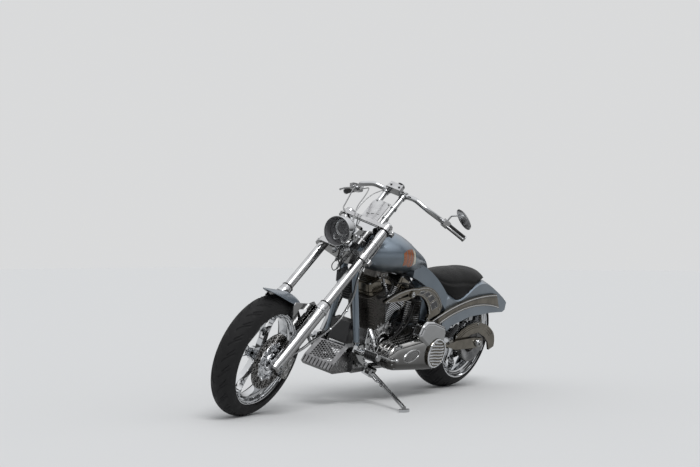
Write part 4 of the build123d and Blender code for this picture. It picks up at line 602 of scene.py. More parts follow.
# Headlight: spun shell with a rolled lip, a pale plate inside, a large bowl above two small round lamps
lamp = {
    "centre": (1316.1, 0.0, 964.9),
    "shell": [(-58, 0), (-57.4, 20), (-55, 34), (-48, 49.5), (-40, 59.5), (-26, 67.4), (-10, 72.6), (0, 74.2),
              (3, 76.2), (6, 77.6), (12, 78), (57, 78), (60, 77.4), (62, 76), (61.6, 74.6), (58, 73.8), (30, 73.0),
              (8, 71.6)],
    "inside": [[(30, 72.8), (8, 71.4), (4, 71.2), (4, 64), (1, 60), (1, 0)], [(57.5, 73.6), (30, 72.8)]],
    "bowls": [(0, 18, 44, 20), (24, -42, 19, 12), (-24, -42, 19, 12)],  # left, up, radius, depth
}
shape = bmesh.new()
turn(shape, lamp["shell"], lamp["centre"], xWay, 96)
keep(shape, "headlightShell", "chrome", "steered", 40, stands=("headlight",))
shape = bmesh.new()
for profile in lamp["inside"]:
    turn(shape, profile, lamp["centre"], xWay, 96)
keep(shape, "headlightInside", "lampPlate", "steered")
shape, rings, bulbs = bmesh.new(), bmesh.new(), bmesh.new()
for left, up, radius, deep in lamp["bowls"]:
    spot = Vector(lamp["centre"]) + Vector((3.0, left, up * 0.92))
    turn(rings, [(2.5, radius - 2.2), (4.4, radius - 1.2), (4.8, radius), (3.4, radius + 1.6), (0, radius + 1.8)],
         spot, xWay)
    turn(shape, [(2.5 - deep * (1 - (k / 12) ** 2), (radius - 2) * k / 12) for k in range(12, -1, -1)], spot, xWay)
    turn(bulbs, [(2 - deep, radius * 0.16), (-deep * 0.35, radius * 0.17), (-deep * 0.22, radius * 0.1),
                 (-deep * 0.2, 0)], spot, xWay, 24)
keep(shape, "headlightBowls", "reflector", "steered", 50)
keep(rings, "headlightRings", "rimChrome", "steered", 50)
keep(bulbs, "headlightBulbs", "lens", "steered")
print("fork trim and headlight made")

# Hoses and cables, on the same runs as the solids
hoseRun = [(-32, 129, 958), (-39, 129, 926), (-51, 129, 893), (-57, 128, 855), (-58, 126, 812), (-60, 124, 770),
           (-68, 122, 727), (-98, 120, 691), (-134, 118, 668), (-173, 116, 645), (-205, 114, 606), (-225, 113, 559),
           (-232, 112, 511), (-225, 112, 463), (-213, 112, 414), (-197, 112, 369), (-178, 112, 328), (-158, 112, 292),
           (-141, 112, 255), (-130, 111, 216), (-114, 108, 179), (-99, 105, 147), (-84, 102, 112)]
brakeRun = [(-139, -295, 1258), (-118, -274, 1246), (-90, -258, 1204), (-68, -238, 1152), (-50, -218, 1098),
            (-28, -196, 1046), (8, -170, 1002), (40, -140, 968), (54, -104, 942), (64, -68, 908), (68, -42, 868),
            (62, -27, 828), (46, -18, 794), (32, -14, 763)]
switchRun = [(-162.6, -279, 1250.2), (-142, -258, 1234), (-101, -222, 1229), (-61, -182, 1212), (-20, -146, 1193),
             (16, -116, 1172), (37, -96, 1142), (47, -84, 1102), (55, -76, 1056), (63, -70, 1014), (65, -60, 973),
             (60, -42, 934), (64, -22, 894), (64, -8, 852), (54, 2, 812), (39, 8, 782), (32, 10, 763)]
gaugeRun = [(4, -30, 1236), (15, -31, 1205), (33, -34, 1172), (51, -40, 1136), (64, -46, 1097), (70, -50, 1055),
            (73, -52, 1012), (73, -50, 970), (77, -41, 931), (79, -24, 893), (75, -12, 861), (82, -4, 835),
            (94, 0, 820)]
cable("brakeHose", hoseRun, 4.0, "braid", "fork", stands=("front_hoses",))
cable("sensorWire", [(x + 2, y - 8.6, z) for x, y, z in hoseRun], 2.8, "gripRubber", "fork")
cable("brakeCable", brakeRun, 3.5, "braid", "fork", stands=("hand_cables",))
cable("switchCable", switchRun, 3.0, "braid", "fork")
cable("gaugeCable", gaugeRun, 2.5, "braid", "fork")
shape = bmesh.new()
for run, radius in ((brakeRun[::-1], 3.5), (switchRun[::-1], 3.0), (gaugeRun, 2.5), (brakeRun, 3.5), (hoseRun, 4.0),
                    (hoseRun[::-1], 4.0)):
    turn(shape, [(-1, radius * 1.3), (0, radius * 1.7), (8, radius * 1.7), (9, radius * 1.35), (20, radius * 1.3),
                 (21, radius)], run[0], Vector(run[1]) - Vector(run[0]), 20)
turn(shape, [(0, 7.5), (9, 7.5), (10, 6.5), (10, 0)], (-84, 106, 108), -yWay, 6)
for height in (700, 560, 420):
    turn(shape, [(-4, 5.4), (-4, 6.6), (4, 6.6), (4, 5.4)], min(hoseRun, key=lambda knot: abs(knot[2] - height)),
         (0.1, 0, 1), 24, closed=True)
keep(shape, "cableEnds", "chrome", "fork", 34)
print("hoses and cables laid")

# Handlebar: riser clamps, ribbed grips, brake box lids, switches, lever ends, left mirror
hands = {"barMiddle": (863.6, 0.0, 1174.2), "bend": (-88.0, 262.0, -64.0), "end": (-166.0, 390.0, -126.0),
         "gripRadius": 17.0, "gripLength": 112.0, "ribs": 13}


def sided(spot, side):
    return Vector((spot[0], spot[1] * side, spot[2]))


radius, length = hands["gripRadius"], hands["gripLength"]
gripWay = (Vector(hands["end"]) - Vector(hands["bend"])).normalized()
gripAhead = gripWay.cross(zWay).normalized()
gripAbove = gripAhead.cross(gripWay)
gripStart = Vector(hands["barMiddle"]) + Vector(hands["end"]) - gripWay * length
switchStart = gripStart - gripWay * 34.5
gripProfile = [(0, 14.0), (0, radius), (6, radius)]
for k in range(hands["ribs"]):
    along = 8 + k * (length - 14) / hands["ribs"]
    gripProfile += [(along, radius), (along + 0.6, radius - 2.2), (along + 2.2, radius - 2.2), (along + 2.8, radius)]
gripProfile += [(length - 2, radius), (length, 14.0)]
handTrim, gripShape, darkTrim = bmesh.new(), bmesh.new(), bmesh.new()
for side in (1, -1):
    way, ahead, above = (sided(v, side) for v in (gripWay, gripAhead, gripAbove))
    start, switchFrom = sided(gripStart, side), sided(switchStart, side)
    turn(gripShape, gripProfile, start, way, 48)
    turn(handTrim, [(length - 1, 15), (length, radius + 1.6), (length + 1.5, radius + 2), (length + 5, radius + 2),
                    (length + 8, radius - 2), (length + 8, 0)], start, way, 48)
    turn(handTrim, [(-0.4, 14.2), (-0.4, radius + 2), (2.5, radius + 2), (2.5, 14.2)], start, way, 48, closed=True)
    box = Matrix((ahead, way, above)).transposed().to_4x4()
    lid = switchFrom + ahead * 32 + way * 17 + above * 20.5
    plate(handTrim, [(-16.2, -18), (16.2, -18), (16.2, 18), (-16.2, 18)], 3.6, Matrix.Translation(lid) @ box)
    bolts(handTrim, [lid + ahead * u + way * v + above * 3.2 for u, v in ((-10, -12), (10, -12), (10, 12), (-10, 12))],
          above, 2.6, 1.3)
    bolts(handTrim, [switchFrom + way * along - ahead * 14 + above * 19.5 for along in (4, 30)], above, 3.0, 2.5)
    for along, height in ((8, 6), (18, 6), (27, 6), (17, -6)):
        turn(darkTrim, [(-1, 4.2), (2.6, 4.2), (3.2, 3.2), (3.2, 0)],
             switchFrom + way * along + above * height - ahead * 21.6, -ahead, 16)
    turn(darkTrim, [(0, 20.6), (0, 23.2), (1.2, 23.2), (1.2, 20.6)], switchFrom + way * 17, way, 4, closed=True)
    root = switchFrom + way * 17 + ahead * 38
    bolt(handTrim, root + above * 7 + way * 2, above, 6.5, 5, "hex")
    turn(handTrim, [(7 * -cos(pi * k / 8), 7 * sin(pi * k / 8)) for k in range(9)], root + way * 118 + ahead * 10,
         way, 20)
keep(gripShape, "gripRibs", "gripRubber", "steered", 34, stands=("grips",))
keep(darkTrim, "handSwitches", "satinBlack", "steered")
clampFrame = turned.inverted() @ fork
for side in (1, -1):
    spot = Vector((-44, side * 52, 1252))
    for start in (0.12, pi + 0.12):
        angles = [start + (pi - 0.24) * k / 14 for k in range(15)]
        half = [(20 * cos(a), 20 * sin(a)) for a in angles] + [(14.1 * cos(a), 14.1 * sin(a)) for a in angles[::-1]]
        plate(handTrim, half, 30.0, clampFrame @ sidePlace(spot.x, spot.y - 15, spot.z))
    bolts(handTrim, [clampFrame @ (spot + Vector((ahead * 0.92, left, 9)))
                     for ahead in (-17.5, 17.5) for left in (-8, 8)],
          clampFrame.to_3x3() @ zWay, 3.6, 5)
keep(handTrim, "handTrim", "chrome", "steered", 34)

mirror = {"headFrom": (-8.0, 88.0, 38.0), "long": 62.0, "wide": 25.0, "glass": 0.86}
head = switchStart + gripWay * 16 + gripAbove * 20 + Vector(mirror["headFrom"])
across = Vector((0, 1, -0.75)).normalized()
back = Vector((-1, 0.1, 0.1)).normalized()
up = back.cross(across).normalized()
shape = bmesh.new()
loft(shape, [[head + back * along + across * (mirror["long"] * grow * mirror["glass"] * cos(2 * pi * k / 48))
              + up * (mirror["wide"] * grow * mirror["glass"] * sin(2 * pi * k / 48)) for k in range(48)]
             for along, grow in ((7.8, 1.0), (8.4, 1.0), (8.6, 0.98))])
keep(shape, "mirrorGlassLeft", "mirrorGlass", "steered")

# Gauge face and bezel, and the bolts of the instrument plate
gauge = {"spot": (-8, 20, 1277.5), "way": (-0.15, 0, 1)}
shape = bmesh.new()
turn(shape, [(0, 23), (2.5, 23), (4, 21.5), (3.4, 20), (1.6, 19.4)], gauge["spot"], gauge["way"], 56)
bolts(shape, ((-18.5, -58, 990), (-18.5, 26, 990), (-18.5, -48, 1142), (-18.5, 26, 1142)), xWay, 4.5, 4)
for left in (-25, 26):
    turn(shape, [(0, 6), (4, 6), (6, 4.5), (6, 0)], (14, left, 1255), xWay, 24)
keep(shape, "gaugeTrim", "chrome", "fork", 34)
shape = bmesh.new()
turn(shape, [(1.8, 19.6), (1.8, 0)], gauge["spot"], gauge["way"], 56)
keep(shape, "gaugeFace", "dial", "fork")

# Front caliper: two piston bosses, the through bolts and the bleed nipple
caliper = {"middle": (1653.1, 111.5, 283.6), "along": (0.2756, 0, -0.9613), "out": (-0.9613, 0, -0.2756)}
middle, along, out = (Vector(caliper[key]) for key in ("middle", "along", "out"))
shape = bmesh.new()
for reach in (-26, 26):
    turn(shape, [(0, 21), (3.5, 21), (5.5, 19), (5.5, 14), (3.8, 12.5), (3.8, 0)], middle + along * reach, yWay, 40)
bolts(shape, [middle + along * reach + out * outward for reach in (-50, 0, 50) for outward in (-21, 21)],
      yWay, 4.6, 4.5)
turn(shape, [(-1, 5), (4, 5), (5, 3), (10, 3), (11, 3.8), (14, 3.8), (15, 2), (15, 0)], (1640.5, 100, 341), zWay, 18)
keep(shape, "frontCaliperTrim", "polishedAlloy", "steered", 34)
print("hand controls, mirror and gauge made")

# Engine: thin machined fins on both cylinders, cut apart where they meet in the vee
engine = {
    "crank": (836.0, 0.0, 340.0), "tilts": (22.5, -22.5), "barrel": (113.0, 240.0, 61.0),  # foot, top, radius
    "fins": ((117.0, 9.4, 13, 79.6, 79.6), (244.5, 9.6, 8, 83.6, 87.6)),  # foot, pitch, count, half sizes
    "finCorner": 38.0, "finThick": 4.0,
}


def stackWay(tilt):
    return Vector((sin(radians(tilt)), 0, cos(radians(tilt))))


def stackSpot(tilt, across, left, height):
    way = stackWay(tilt)
    return Vector(engine["crank"]) + way * height + Vector((way.z, 0, -way.x)) * across + yWay * left


def stackRing(tilt, height, halfAcross, halfDeep, corner, left=0.0, grow=1.0):
    return [stackSpot(tilt, u * grow, left + v * grow, height) for u, v in roundedBox(halfAcross, halfDeep, corner)]


cores, frontRims, rearRims = bmesh.new(), bmesh.new(), bmesh.new()
for tilt in engine["tilts"]:
    core, rim = bmesh.new(), bmesh.new()
    (low, top, radius), corner, thick = engine["barrel"], engine["finCorner"], engine["finThick"]
    turn(core, [(low, 0), (low, radius), (top, radius), (top, 0)], engine["crank"], stackWay(tilt), 48)
    loft(core, [stackRing(tilt, height, 66, 72, 28) for height in (240, 241, 317, 318)])
    for first, pitch, count, halfAcross, halfDeep in engine["fins"]:
        inner, outer = ((halfAcross - less, halfDeep - less, corner - less) for less in (0.8, 0))
        for height in (first + pitch * index for index in range(count)):
            loft(core, [stackRing(tilt, height + lift, *inner) for lift in (0, thick)])
            loft(rim, [stackRing(tilt, height + lift, *box) for box, lift in
                       ((inner, 0.05), (outer, 0.3), (outer, thick - 0.3), (inner, thick - 0.05))], caps=False)
    for part, whole in ((core, cores), (rim, frontRims if tilt > 0 else rearRims)):
        bmesh.ops.bisect_plane(part, geom=[*part.verts, *part.edges, *part.faces], plane_co=engine["crank"],
                               plane_no=(1 if tilt > 0 else -1, 0, 0), clear_inner=True)
        held = bpy.data.meshes.new("held")
        part.to_mesh(held)
        part.free()
        whole.from_mesh(held)
        bpy.data.meshes.remove(held)
keep(cores, "cylinderCores", "finAlloy", stands=("cylinders",))
keep(frontRims, "frontFinEdges", "finAlloy", crease=30)
keep(rearRims, "rearFinEdges", "rimChrome", crease=30)

shape = bmesh.new()
leads = []
for tilt in engine["tilts"]:
    way = stackWay(tilt)
    for across in (-42, 42):
        bolts(shape, [stackSpot(tilt, across, left, 383.5) for left in (-60, 60)], way, 6.5, 7)
        bolt(shape, stackSpot(tilt, across, 70.5, 330), yWay, 5.5, 6, "dome")
        turn(shape, [(0, 8.5), (10, 8.5), (12, 6.5), (12, 0)], stackSpot(tilt, across * 56.84 / 42, 66, 240), way, 6)
    leads.append((stackSpot(tilt, 8, 72, 286), (yWay + way * 0.45).normalized()))
    turn(shape, [(-4, 10), (3, 10), (4, 7), (10, 7), (10, 5), (14, 5)], *leads[-1], 6)
keep(shape, "engineBolts", "chrome", crease=34)
for index, (plug, out) in enumerate(leads):
    shape = bmesh.new()
    turn(shape, [(12, 6.2), (14, 8.6), (30, 8.2), (34, 6.6), (46, 6.0), (50, 4.4), (50, 3.9)], plug, out, 24)
    keep(shape, "plugBoot" + str(index), "gripRubber")
    end = Vector((852 - 26 * index, 58, 704))
    cable("plugLead" + str(index), [plug + out * 46, plug + out * 74, plug + out * 92 + Vector((0, 6, 26)),
                                    (end + plug) / 2 + Vector((0, 62, 44)), end + Vector((0, 30, -22)), end],
          3.9, "gripRubber")

# Intake between the cylinders, and oil lines beside the crankcase
intake = {"spot": (836, 20, 604), "screws": [(806, 44, 604), (866, 44, 604)]}
shape = bmesh.new()
turn(shape, [(-70, 24), (-30, 26), (-28, 33), (-20, 33), (-18, 27), (18, 27), (20, 33), (30, 33), (34, 26), (52, 22),
             (60, 16), (62, 0)], intake["spot"], yWay, 40)
bolts(shape, intake["screws"], yWay, 5, 4, "hex")
keep(shape, "intake", "castAlloy", crease=34)
oilLines = [[(770, 84, 330), (760, 96, 376), (730, 106, 420), (690, 104, 470), (654, 104, 520), (640, 96, 560)],
            [(800, 84, 300), (790, 96, 346), (730, 106, 396), (660, 112, 452), (626, 104, 520), (612, 98, 560)]]
for index, points in enumerate(oilLines):
    cable("oilLine" + str(index), points, 5.0, "gripRubber")

# Crankcase: round left cover with radial ribs and screws, and the lifter blocks
shape = bmesh.new()
caseMiddle = Vector((836, 81.8, 344))
turn(shape, [(0, 66), (5, 66), (8, 62), (8, 54), (6, 51), (6, 34), (10, 31), (10, 0)], caseMiddle, yWay)
for k in range(12):
    x, z = polar(1, 30 * k + 12)
    loft(shape, [[caseMiddle + Vector((x * reach - z * u, v, z * reach + x * u)) for u, v in
                  ((-3, 0), (3, 0), (2, high), (-2, high))] for reach, high in ((66, 6), (101, 3))])
bolts(shape, ringSpots(caseMiddle + yWay * 7.5, 58, 12, 12), yWay, 4.2, 4)
for tilt in engine["tilts"]:
    way = stackWay(tilt)
    loft(shape, [stackRing(tilt, height, 34, 12, 6, 74, grow) for height, grow in ((84, 1.0), (104, 1.0), (108, 0.86))])
    bolts(shape, [stackSpot(tilt, across, 76, 106) for across in (-24, 24)], way, 4.5, 6, "hex")
    for across in (-14, 14):
        turn(shape, [(104, 8), (118, 8), (120, 5.6), (128, 5.6)], stackSpot(tilt, across, 74, 0), way, 24)
keep(shape, "caseTrim", "polishedAlloy", crease=34)

# Finned oil tank behind the cylinders
oilTank = {"middle": (580, 508), "half": (74, 71, 26), "finHalf": (75.5, 88, 24), "fins": 11, "firstFin": 446,
           "pitch": 12.4}


def slab(shape, x, box, levels):
    # a flat box with rounded corners, box as (half along, half across, corner), levels as (height, growth)
    loft(shape, [[(x + u * grow, v * grow, height) for u, v in roundedBox(*box)] for height, grow in levels])


tankX, tankZ = oilTank["middle"]
shape, edges = bmesh.new(), bmesh.new()
loft(shape, [[(tankX + u * grow, y, tankZ + v * grow) for u, v in roundedBox(*oilTank["half"])]
             for y, grow in ((-84, 0.846), (-78, 0.94), (78, 0.94), (84, 0.846))])
halfAlong, halfAcross, corner = oilTank["finHalf"]
for k in range(oilTank["fins"]):
    height = oilTank["firstFin"] + k * oilTank["pitch"]
    slab(shape, tankX, (halfAlong, halfAcross, corner), ((height, 1), (height + 5, 1)))
    slab(edges, tankX, (halfAlong + 0.5, halfAcross + 0.5, corner), ((height + 0.6, 1), (height + 4.4, 1)))
keep(shape, "oilTank", "finAlloy", crease=34)
keep(edges, "oilTankEdges", "brushedSteel", crease=34)
print("engine dressed")

# Primary: one swelling shell, its screws, and the oval finned inspection cover
primary = {
    "clutch": (496.0, 308.0, 106.0), "front": (848.0, 298.0, 74.0),  # x, z and radius
    "shells": [[(118, 0), (150, 0), (186, 0), (198, 0.8), (207, 3.2), (214, 8), (219.5, 15), (223, 24), (225, 34),
                (226, 46)], [(146, -2.2), (147, -2.8), (155, -2.8), (156, -2.2)],
               [(176, -1.4), (177, -2.0), (180, -2.0), (181, -1.4)]],  # left and inset
    "screws": 12, "oval": (732.0, 304.0, -11.0),  # x, z and tilt
    "ovalRings": [(223, 78, 39), (228, 77, 38), (230.5, 75, 36), (231, 73, 34), (231, 67, 28.5), (230, 66, 27.5),
                  (227, 65.5, 27)],
}


def hullRing(inset, y):
    # round both ends, with the straight sides between them
    (x1, z1, r1), (x2, z2, r2) = primary["clutch"], primary["front"]
    facing, opened = atan2(z2 - z1, x2 - x1), acos((r1 - r2) / hypot(x2 - x1, z2 - z1))
    ring = []
    for x, z, radius, start, sweep, count in ((x1, z1, r1 - inset, facing + opened, 2 * pi - 2 * opened, 48),
                                              (x2, z2, r2 - inset, facing - opened, 2 * opened, 36)):
        for k in range(count):
            angle = start + sweep * k / (count - 1)
            ring.append((x + radius * cos(angle), y, z + radius * sin(angle)))
    return ring


shape = bmesh.new()
for rings in primary["shells"]:
    loft(shape, [hullRing(inset, y) for y, inset in rings])
keep(shape, "primaryShell", "coverChrome", crease=50, stands=("primary_cover",))
shape = bmesh.new()
screwRing = hullRing(12.5, 216)
bolts(shape, screwRing[3::len(screwRing) // primary["screws"]], yWay, 5.2, 6.5)
x, z, tilt = primary["oval"]
oval = Matrix.Translation((x, 0, z)) @ Matrix.Rotation(-radians(tilt), 4, "Y")
loft(shape, [[oval @ Vector((long * cos(2 * pi * k / 64), y, wide * sin(2 * pi * k / 64))) for k in range(64)]
             for y, long, wide in primary["ovalRings"]])
for along in (10.5 * k for k in range(-5, 6)):
    reach = 26 * sqrt(1 - (along / 66) ** 2)
    loft(shape, [[oval @ Vector((along + u, y, v)) for u, v in roundedBox(half, reach, min(half, 2.0) - 0.01, 4)]
                 for y, half in ((226, 3.0), (229.6, 2.8), (230.8, 1.6))])
bolts(shape, [oval @ Vector((u, 230.5, v)) for u, v in
              ((-70.5, 0), (70.5, 0), (-38, 28.5), (38, 28.5), (-38, -28.5), (38, -28.5))], yWay, 3.4, 3.0)
keep(shape, "primaryTrim", "polishedAlloy", crease=34)

# Ribbed cover: a dished cap with waved ribs across it
ribbed = {"middle": (496.0, 0.0, 308.0), "ribs": 8, "pitch": 17.6, "wave": 2.4}
shape = bmesh.new()
turn(shape, [(224, 86), (237, 86), (240.5, 84.6), (242, 82), (242, 77.5), (240.6, 75.4), (238.6, 74.6), (238.2, 0)],
     ribbed["middle"], yWay, 96)
keep(shape, "ribbedCap", "bronzeChrome", crease=40, stands=("ribbed_cover",))
shape = bmesh.new()
turn(shape, [(237.5, 86.1), (240.5, 84.8), (242.2, 82), (242.2, 77.5), (240.4, 75.2)], ribbed["middle"], yWay, 96)
ribSection = ((-1, 0), (-0.96, 0.45), (-0.7, 0.82), (-0.3, 0.98), (0.3, 0.98), (0.7, 0.82), (0.96, 0.45), (1, 0))
for k in range(ribbed["ribs"]):
    drop = (k - (ribbed["ribs"] - 1) / 2) * ribbed["pitch"]
    half = sqrt(74.0 ** 2 - (abs(drop) + 4) ** 2) - 2
    rings = []
    for along in (-1 + step / 12 for step in range(25)):
        wave = ribbed["wave"] * sin(along * half / 74 * pi)
        middle = Vector(ribbed["middle"]) + Vector((half * along, 0, drop + wave))
        swell = sqrt(max(0.02, 1 - abs(along) ** 6))
        rings.append([middle + Vector((0, 237.8 + 9.6 * swell * v, 5.2 * u)) for u, v in ribSection])
    loft(shape, rings)
bolts(shape, ringSpots(Vector(ribbed["middle"]) + yWay * 241.5, 79.6, 8), yWay, 4.2, 4.5)
keep(shape, "ribbedCapRibs", "rimChrome", crease=40)

# Arch cover over the rear cylinder: rolled lines, boss, and dark plates painted on as the shade in its windows
arch = {"face": 168.0, "windows": [(3, 10), (12, 19), (21, 28), (30, 38)], "inset": (0.13, 0.80),
        "lines": [((996, 603), (860, 655), (700, 668), 2.2), ((700, 668), (524, 643), (436, 562), 2.2),
                  ((690, 656), (536, 632), (452, 556), 1.4), ((1000, 600.5), (900, 604), (806, 610), 1.6),
                  ((716, 640), (606, 604), (546, 524), 1.6)],
        "boss": (760, 642), "screws": [(976, 603, 4.5), (455, 545, 5), (560, 494, 5)]}
face = arch["face"]
for index, (*arc, radius) in enumerate(arch["lines"]):
    cable("archLine" + str(index), [(x, face + 0.4, z) for x, z in arcThrough(*arc, 14)], radius, "brushedSteel")
# dark plates laid on the cover's face where its windows are: painted shade standing for the openings
shape = bmesh.new()
outer, inner = ([Vector(spot) for spot in arcThrough(*arch["lines"][row][:3], 40)] for row in (2, 4))
for index, (first, last) in enumerate(arch["windows"]):
    near, far = ([outer[k].lerp(inner[k], part) for k in range(first, last + 1)] for part in arch["inset"])
    window = near + far[::-1]
    plate(shape, window, 0.9, sidePlace(0, face - 0.3, 0))
    rimLine = [(x, face + 0.5, z) for x, z in window + window[:1]]
    cable("archRim" + str(index), rimLine, 1.3, "brushedSteel", kind="POLY")
keep(shape, "archWindowShade", "satinBlack")
shape = bmesh.new()
x, z = arch["boss"]
turn(shape, [(0, 15), (3, 15), (5, 12.5), (5, 9), (3.6, 8), (3.6, 0)], (x, face + 7, z), yWay, 40)
bolt(shape, (x, face + 10, z), yWay, 5.5, 5)
for x, z, radius in arch["screws"]:
    bolt(shape, (x, face - 0.5, z), yWay, radius, 4)
keep(shape, "archBoss", "chrome")
shape = bmesh.new()
for x, z in ((655, 455), (455, 432), (560, 470)):
    turn(shape, [(-6, 5), (0.6, 5), (1.6, 4), (1.6, 0)], (x, 230.6, z), yWay, 24)
keep(shape, "coverScrews", "polishedAlloy")
print("primary side made")

# Fittings under the lower tree: brake block, unions and switches, clamp brackets, black tab, and the lines
fittings = {
    "block": (36.2, 0, 750), "tab": [(-105, 627), (-136, 700), (-131, 734.6), (-98, 734.6), (-42, 654)],
    # spot, way, radius and length
    "switches": [((-30, -14, 734.5), (0.1, 0, -1), 12, 44), ((-64, -4, 734.5), (-0.1, 0, -1), 10, 62),
                 ((-20, 30, 734.5), (0.25, 0.1, -1), 9, 38), ((4, -34, 734.5), (0.3, -0.1, -1), 8, 30)],
    "unions": [((38, -46, 748), (0.75, -0.1, -0.65), 9, 46), ((38, 44, 748), (0.75, 0.15, -0.65), 9, 44),
               ((52, -4, 726), (0.5, 0, -0.86), 11, 42), ((52, 30, 730), (0.2, 0.3, -0.93), 8, 50)],
    "bracket": [(-26, -17), (-26, 17), (-48, 15), (-56, 8), (-56, -8), (-48, -15)],
    "lines": {"farLine": (3.4, [(47, -19, 725), (58, -34, 712), (66, -62, 716), (56, -92, 708), (36, -112, 690)]),
              "nearLine": (3.4, [(47, 8, 725), (46, 14, 700), (24, 30, 668), (-10, 44, 664), (-20, 33, 700)]),
              "backLine": (3.0, [(47, 19, 725), (44, 28, 706), (10, 38, 690), (-38, 30, 664), (-70, 24, 668)]),
              "switchLine": (2.4, [(-24, -14, 692), (-20, -16, 668), (-34, -12, 650), (-64, -4, 652), (-68, -4, 674)])},
}
shape = bmesh.new()
block = Vector(fittings["block"])
loft(shape, [[block + Vector((deep, u, v)) for u, v in roundedBox(half, half * 0.55, 5)] for deep, half in
             ((-0.6, 23), (14, 23), (16, 21))])
bolts(shape, [block + Vector((15.5, left, 0)) for left in (-14, 14)], xWay, 5.5, 6)
for left in (-19, -6, 8, 19):
    turn(shape, [(0, 6), (8, 6), (9, 4.5), (16, 4.5), (17, 3.4)], block + Vector((8, left, -12)), (0.2, 0, -1), 6)
for spot, way, radius, long in fittings["switches"]:
    turn(shape, [(0, radius * 0.7), (5, radius * 0.7), (6, radius), (long * 0.62, radius), (long * 0.66, radius * 0.62),
                 (long * 0.9, radius * 0.62), (long * 0.92, radius * 0.34), (long, radius * 0.3), (long, 0)],
         spot, way, 28)
for spot, way, radius, long in fittings["unions"]:
    turn(shape, [(-6, radius * 0.6), (2, radius * 0.6), (3, radius), (long * 0.5, radius), (long * 0.54, radius * 0.7),
                 (long * 0.8, radius * 0.7), (long * 0.82, radius * 1.1), (long * 0.95, radius * 1.1),
                 (long, radius * 0.5), (long, 0)], spot, way, 24)
for side in (1, -1):
    loft(shape, [[(u, side * 121 + v * grow, height) for u, v in fittings["bracket"]]
                 for height, grow in ((982, 0.9), (984, 1.0), (1001, 1.0), (1003, 0.9))])
    bolts(shape, [(back, side * 137, 992.5) for back in (-33, -45)], (0, side, 0), 4.2, 4)
bolt(shape, (-112, 23, 690), yWay, 6, 5, "hex")
bolt(shape, (-74, 23, 672), yWay, 5, 5, "hex")
keep(shape, "treeFittings", "chrome", "fork", 34)
shape = bmesh.new()
plate(shape, fittings["tab"], 5.0, sidePlace(0, 18, 0))
keep(shape, "treeTab", "satinBlack", "fork", bevel=1.0)
for name, (radius, points) in fittings["lines"].items():
    cable(name, points, radius, "gripRubber", "fork")
print("fittings under the tree made")

# Seat: the solid's own form, remeshed, crowned between a stitched shoulder line and its piping
seat = {"voxel": 0.0045, "soften": 6, "crown": 3.0, "groove": 2.6, "groovePlace": 0.60, "piping": 1.6,
        "pipingPlace": 0.47, "falloff": 2.718}


def soften(shape, factor):
    bmesh.ops.smooth_vert(shape, verts=shape.verts, factor=factor, use_axis_x=True, use_axis_y=True, use_axis_z=True)


draft = added("seatDraft", nodes["seat"].data.copy())
draft.matrix_world = nodes["seat"].matrix_world.copy()
remesh = draft.modifiers.new("even mesh", "REMESH")
remesh.mode = "VOXEL"
remesh.voxel_size = seat["voxel"]
bpy.context.view_layer.update()
evaluated = draft.evaluated_get(bpy.context.evaluated_depsgraph_get())
shape = bmesh.new()
shape.from_mesh(evaluated.to_mesh())
shape.transform(bike.inverted() @ draft.matrix_world)
evaluated.to_mesh_clear()
bpy.data.objects.remove(draft)
for _ in range(seat["soften"]):
    soften(shape, 0.5)
shape.normal_update()
moves = []
for vert in shape.verts:
    steep = vert.normal.z
    line = (steep - seat["groovePlace"]) / 0.055
    pipe = (steep - seat["pipingPlace"]) / 0.05
    push = -seat["groove"] * seat["falloff"] ** (-line * line) + seat["piping"] * seat["falloff"] ** (-pipe * pipe)
    if steep > seat["groovePlace"]:
        push += seat["crown"] * min(1.0, (steep - seat["groovePlace"]) / 0.3)
    moves.append(vert.normal * push)
for vert, move in zip(shape.verts, moves):
    vert.co += move
soften(shape, 0.35)
cushion = keep(shape, "seatCushion", "leather", crease=80, stands=("seat",))
print("seat padded")

# Tank: a badge of slanted blades laid on the paint, and the flush filler cap
badge = {
    "lift": 0.5, "bow": 3.0,
    "blades": [  # finish, then front top, rear top, rear bottom and front bottom as (x, z)
        ("badgeOrange", (912, 872), (884, 886), (858, 806), (888, 800)),
        ("badgeOrange", (878, 889), (846, 892), (824, 792), (852, 803)),
        ("badgeOrange", (840, 893), (812, 890), (796, 800), (818, 789)),
        ("badgeCream", (804, 890), (776, 880), (768, 812), (790, 801)),
        ("badgeTeal", (771, 878), (766, 875), (758, 817), (763, 812)),
        ("badgeTeal", (921, 868), (916, 871), (891, 799), (895, 797)),
    ],
}
fromBike = nodes["tank"].matrix_world.inverted() @ bike
toBike = fromBike.inverted()


def onTank(spot, way):
    # where a ray meets the tank, and the normal there
    way = (fromBike.to_3x3() @ Vector(way)).normalized()
    hit, place, normal, _ = nodes["tank"].ray_cast(fromBike @ Vector(spot), way)
    return toBike @ place if hit else None, (toBike.to_3x3() @ normal).normalized()


for index, (look, *corners) in enumerate(badge["blades"]):
    a, b, c, d = (Vector(corner) for corner in corners)
    for side in (1, -1):
        shape = bmesh.new()
        grid = []
        for u, v in ((i / 8, j / 16) for i in range(9) for j in range(17)):
            x, z = a.lerp(b, u).lerp(d.lerp(c, u), v)
            spot, normal = onTank((x + badge["bow"] * sin(pi * v), side * 400, z), (0, -side, 0))
            grid.append(shape.verts.new(spot + normal * badge["lift"]) if spot else None)
        for k in (17 * i + j for i in range(8) for j in range(16)):
            quad = (grid[k], grid[k + 17], grid[k + 18], grid[k + 1])
            if all(quad):
                shape.faces.new(quad)
        keep(shape, "badge" + ("Left" if side > 0 else "Right") + str(index), look)
spot, normal = onTank((690, 0, 1200), -zWay)
shape = bmesh.new()
turn(shape, [(-4, 36), (1.5, 36), (3, 34.5), (3, 31), (2.2, 30), (5, 27), (6.5, 20), (7, 0)], spot, normal)
bolts(shape, [spot + Matrix.Rotation(k * pi / 3, 3, normal) @ (normal.orthogonal() * 32.7) + normal * 2.6
              for k in range(6)], normal, 2.4, 1.6)
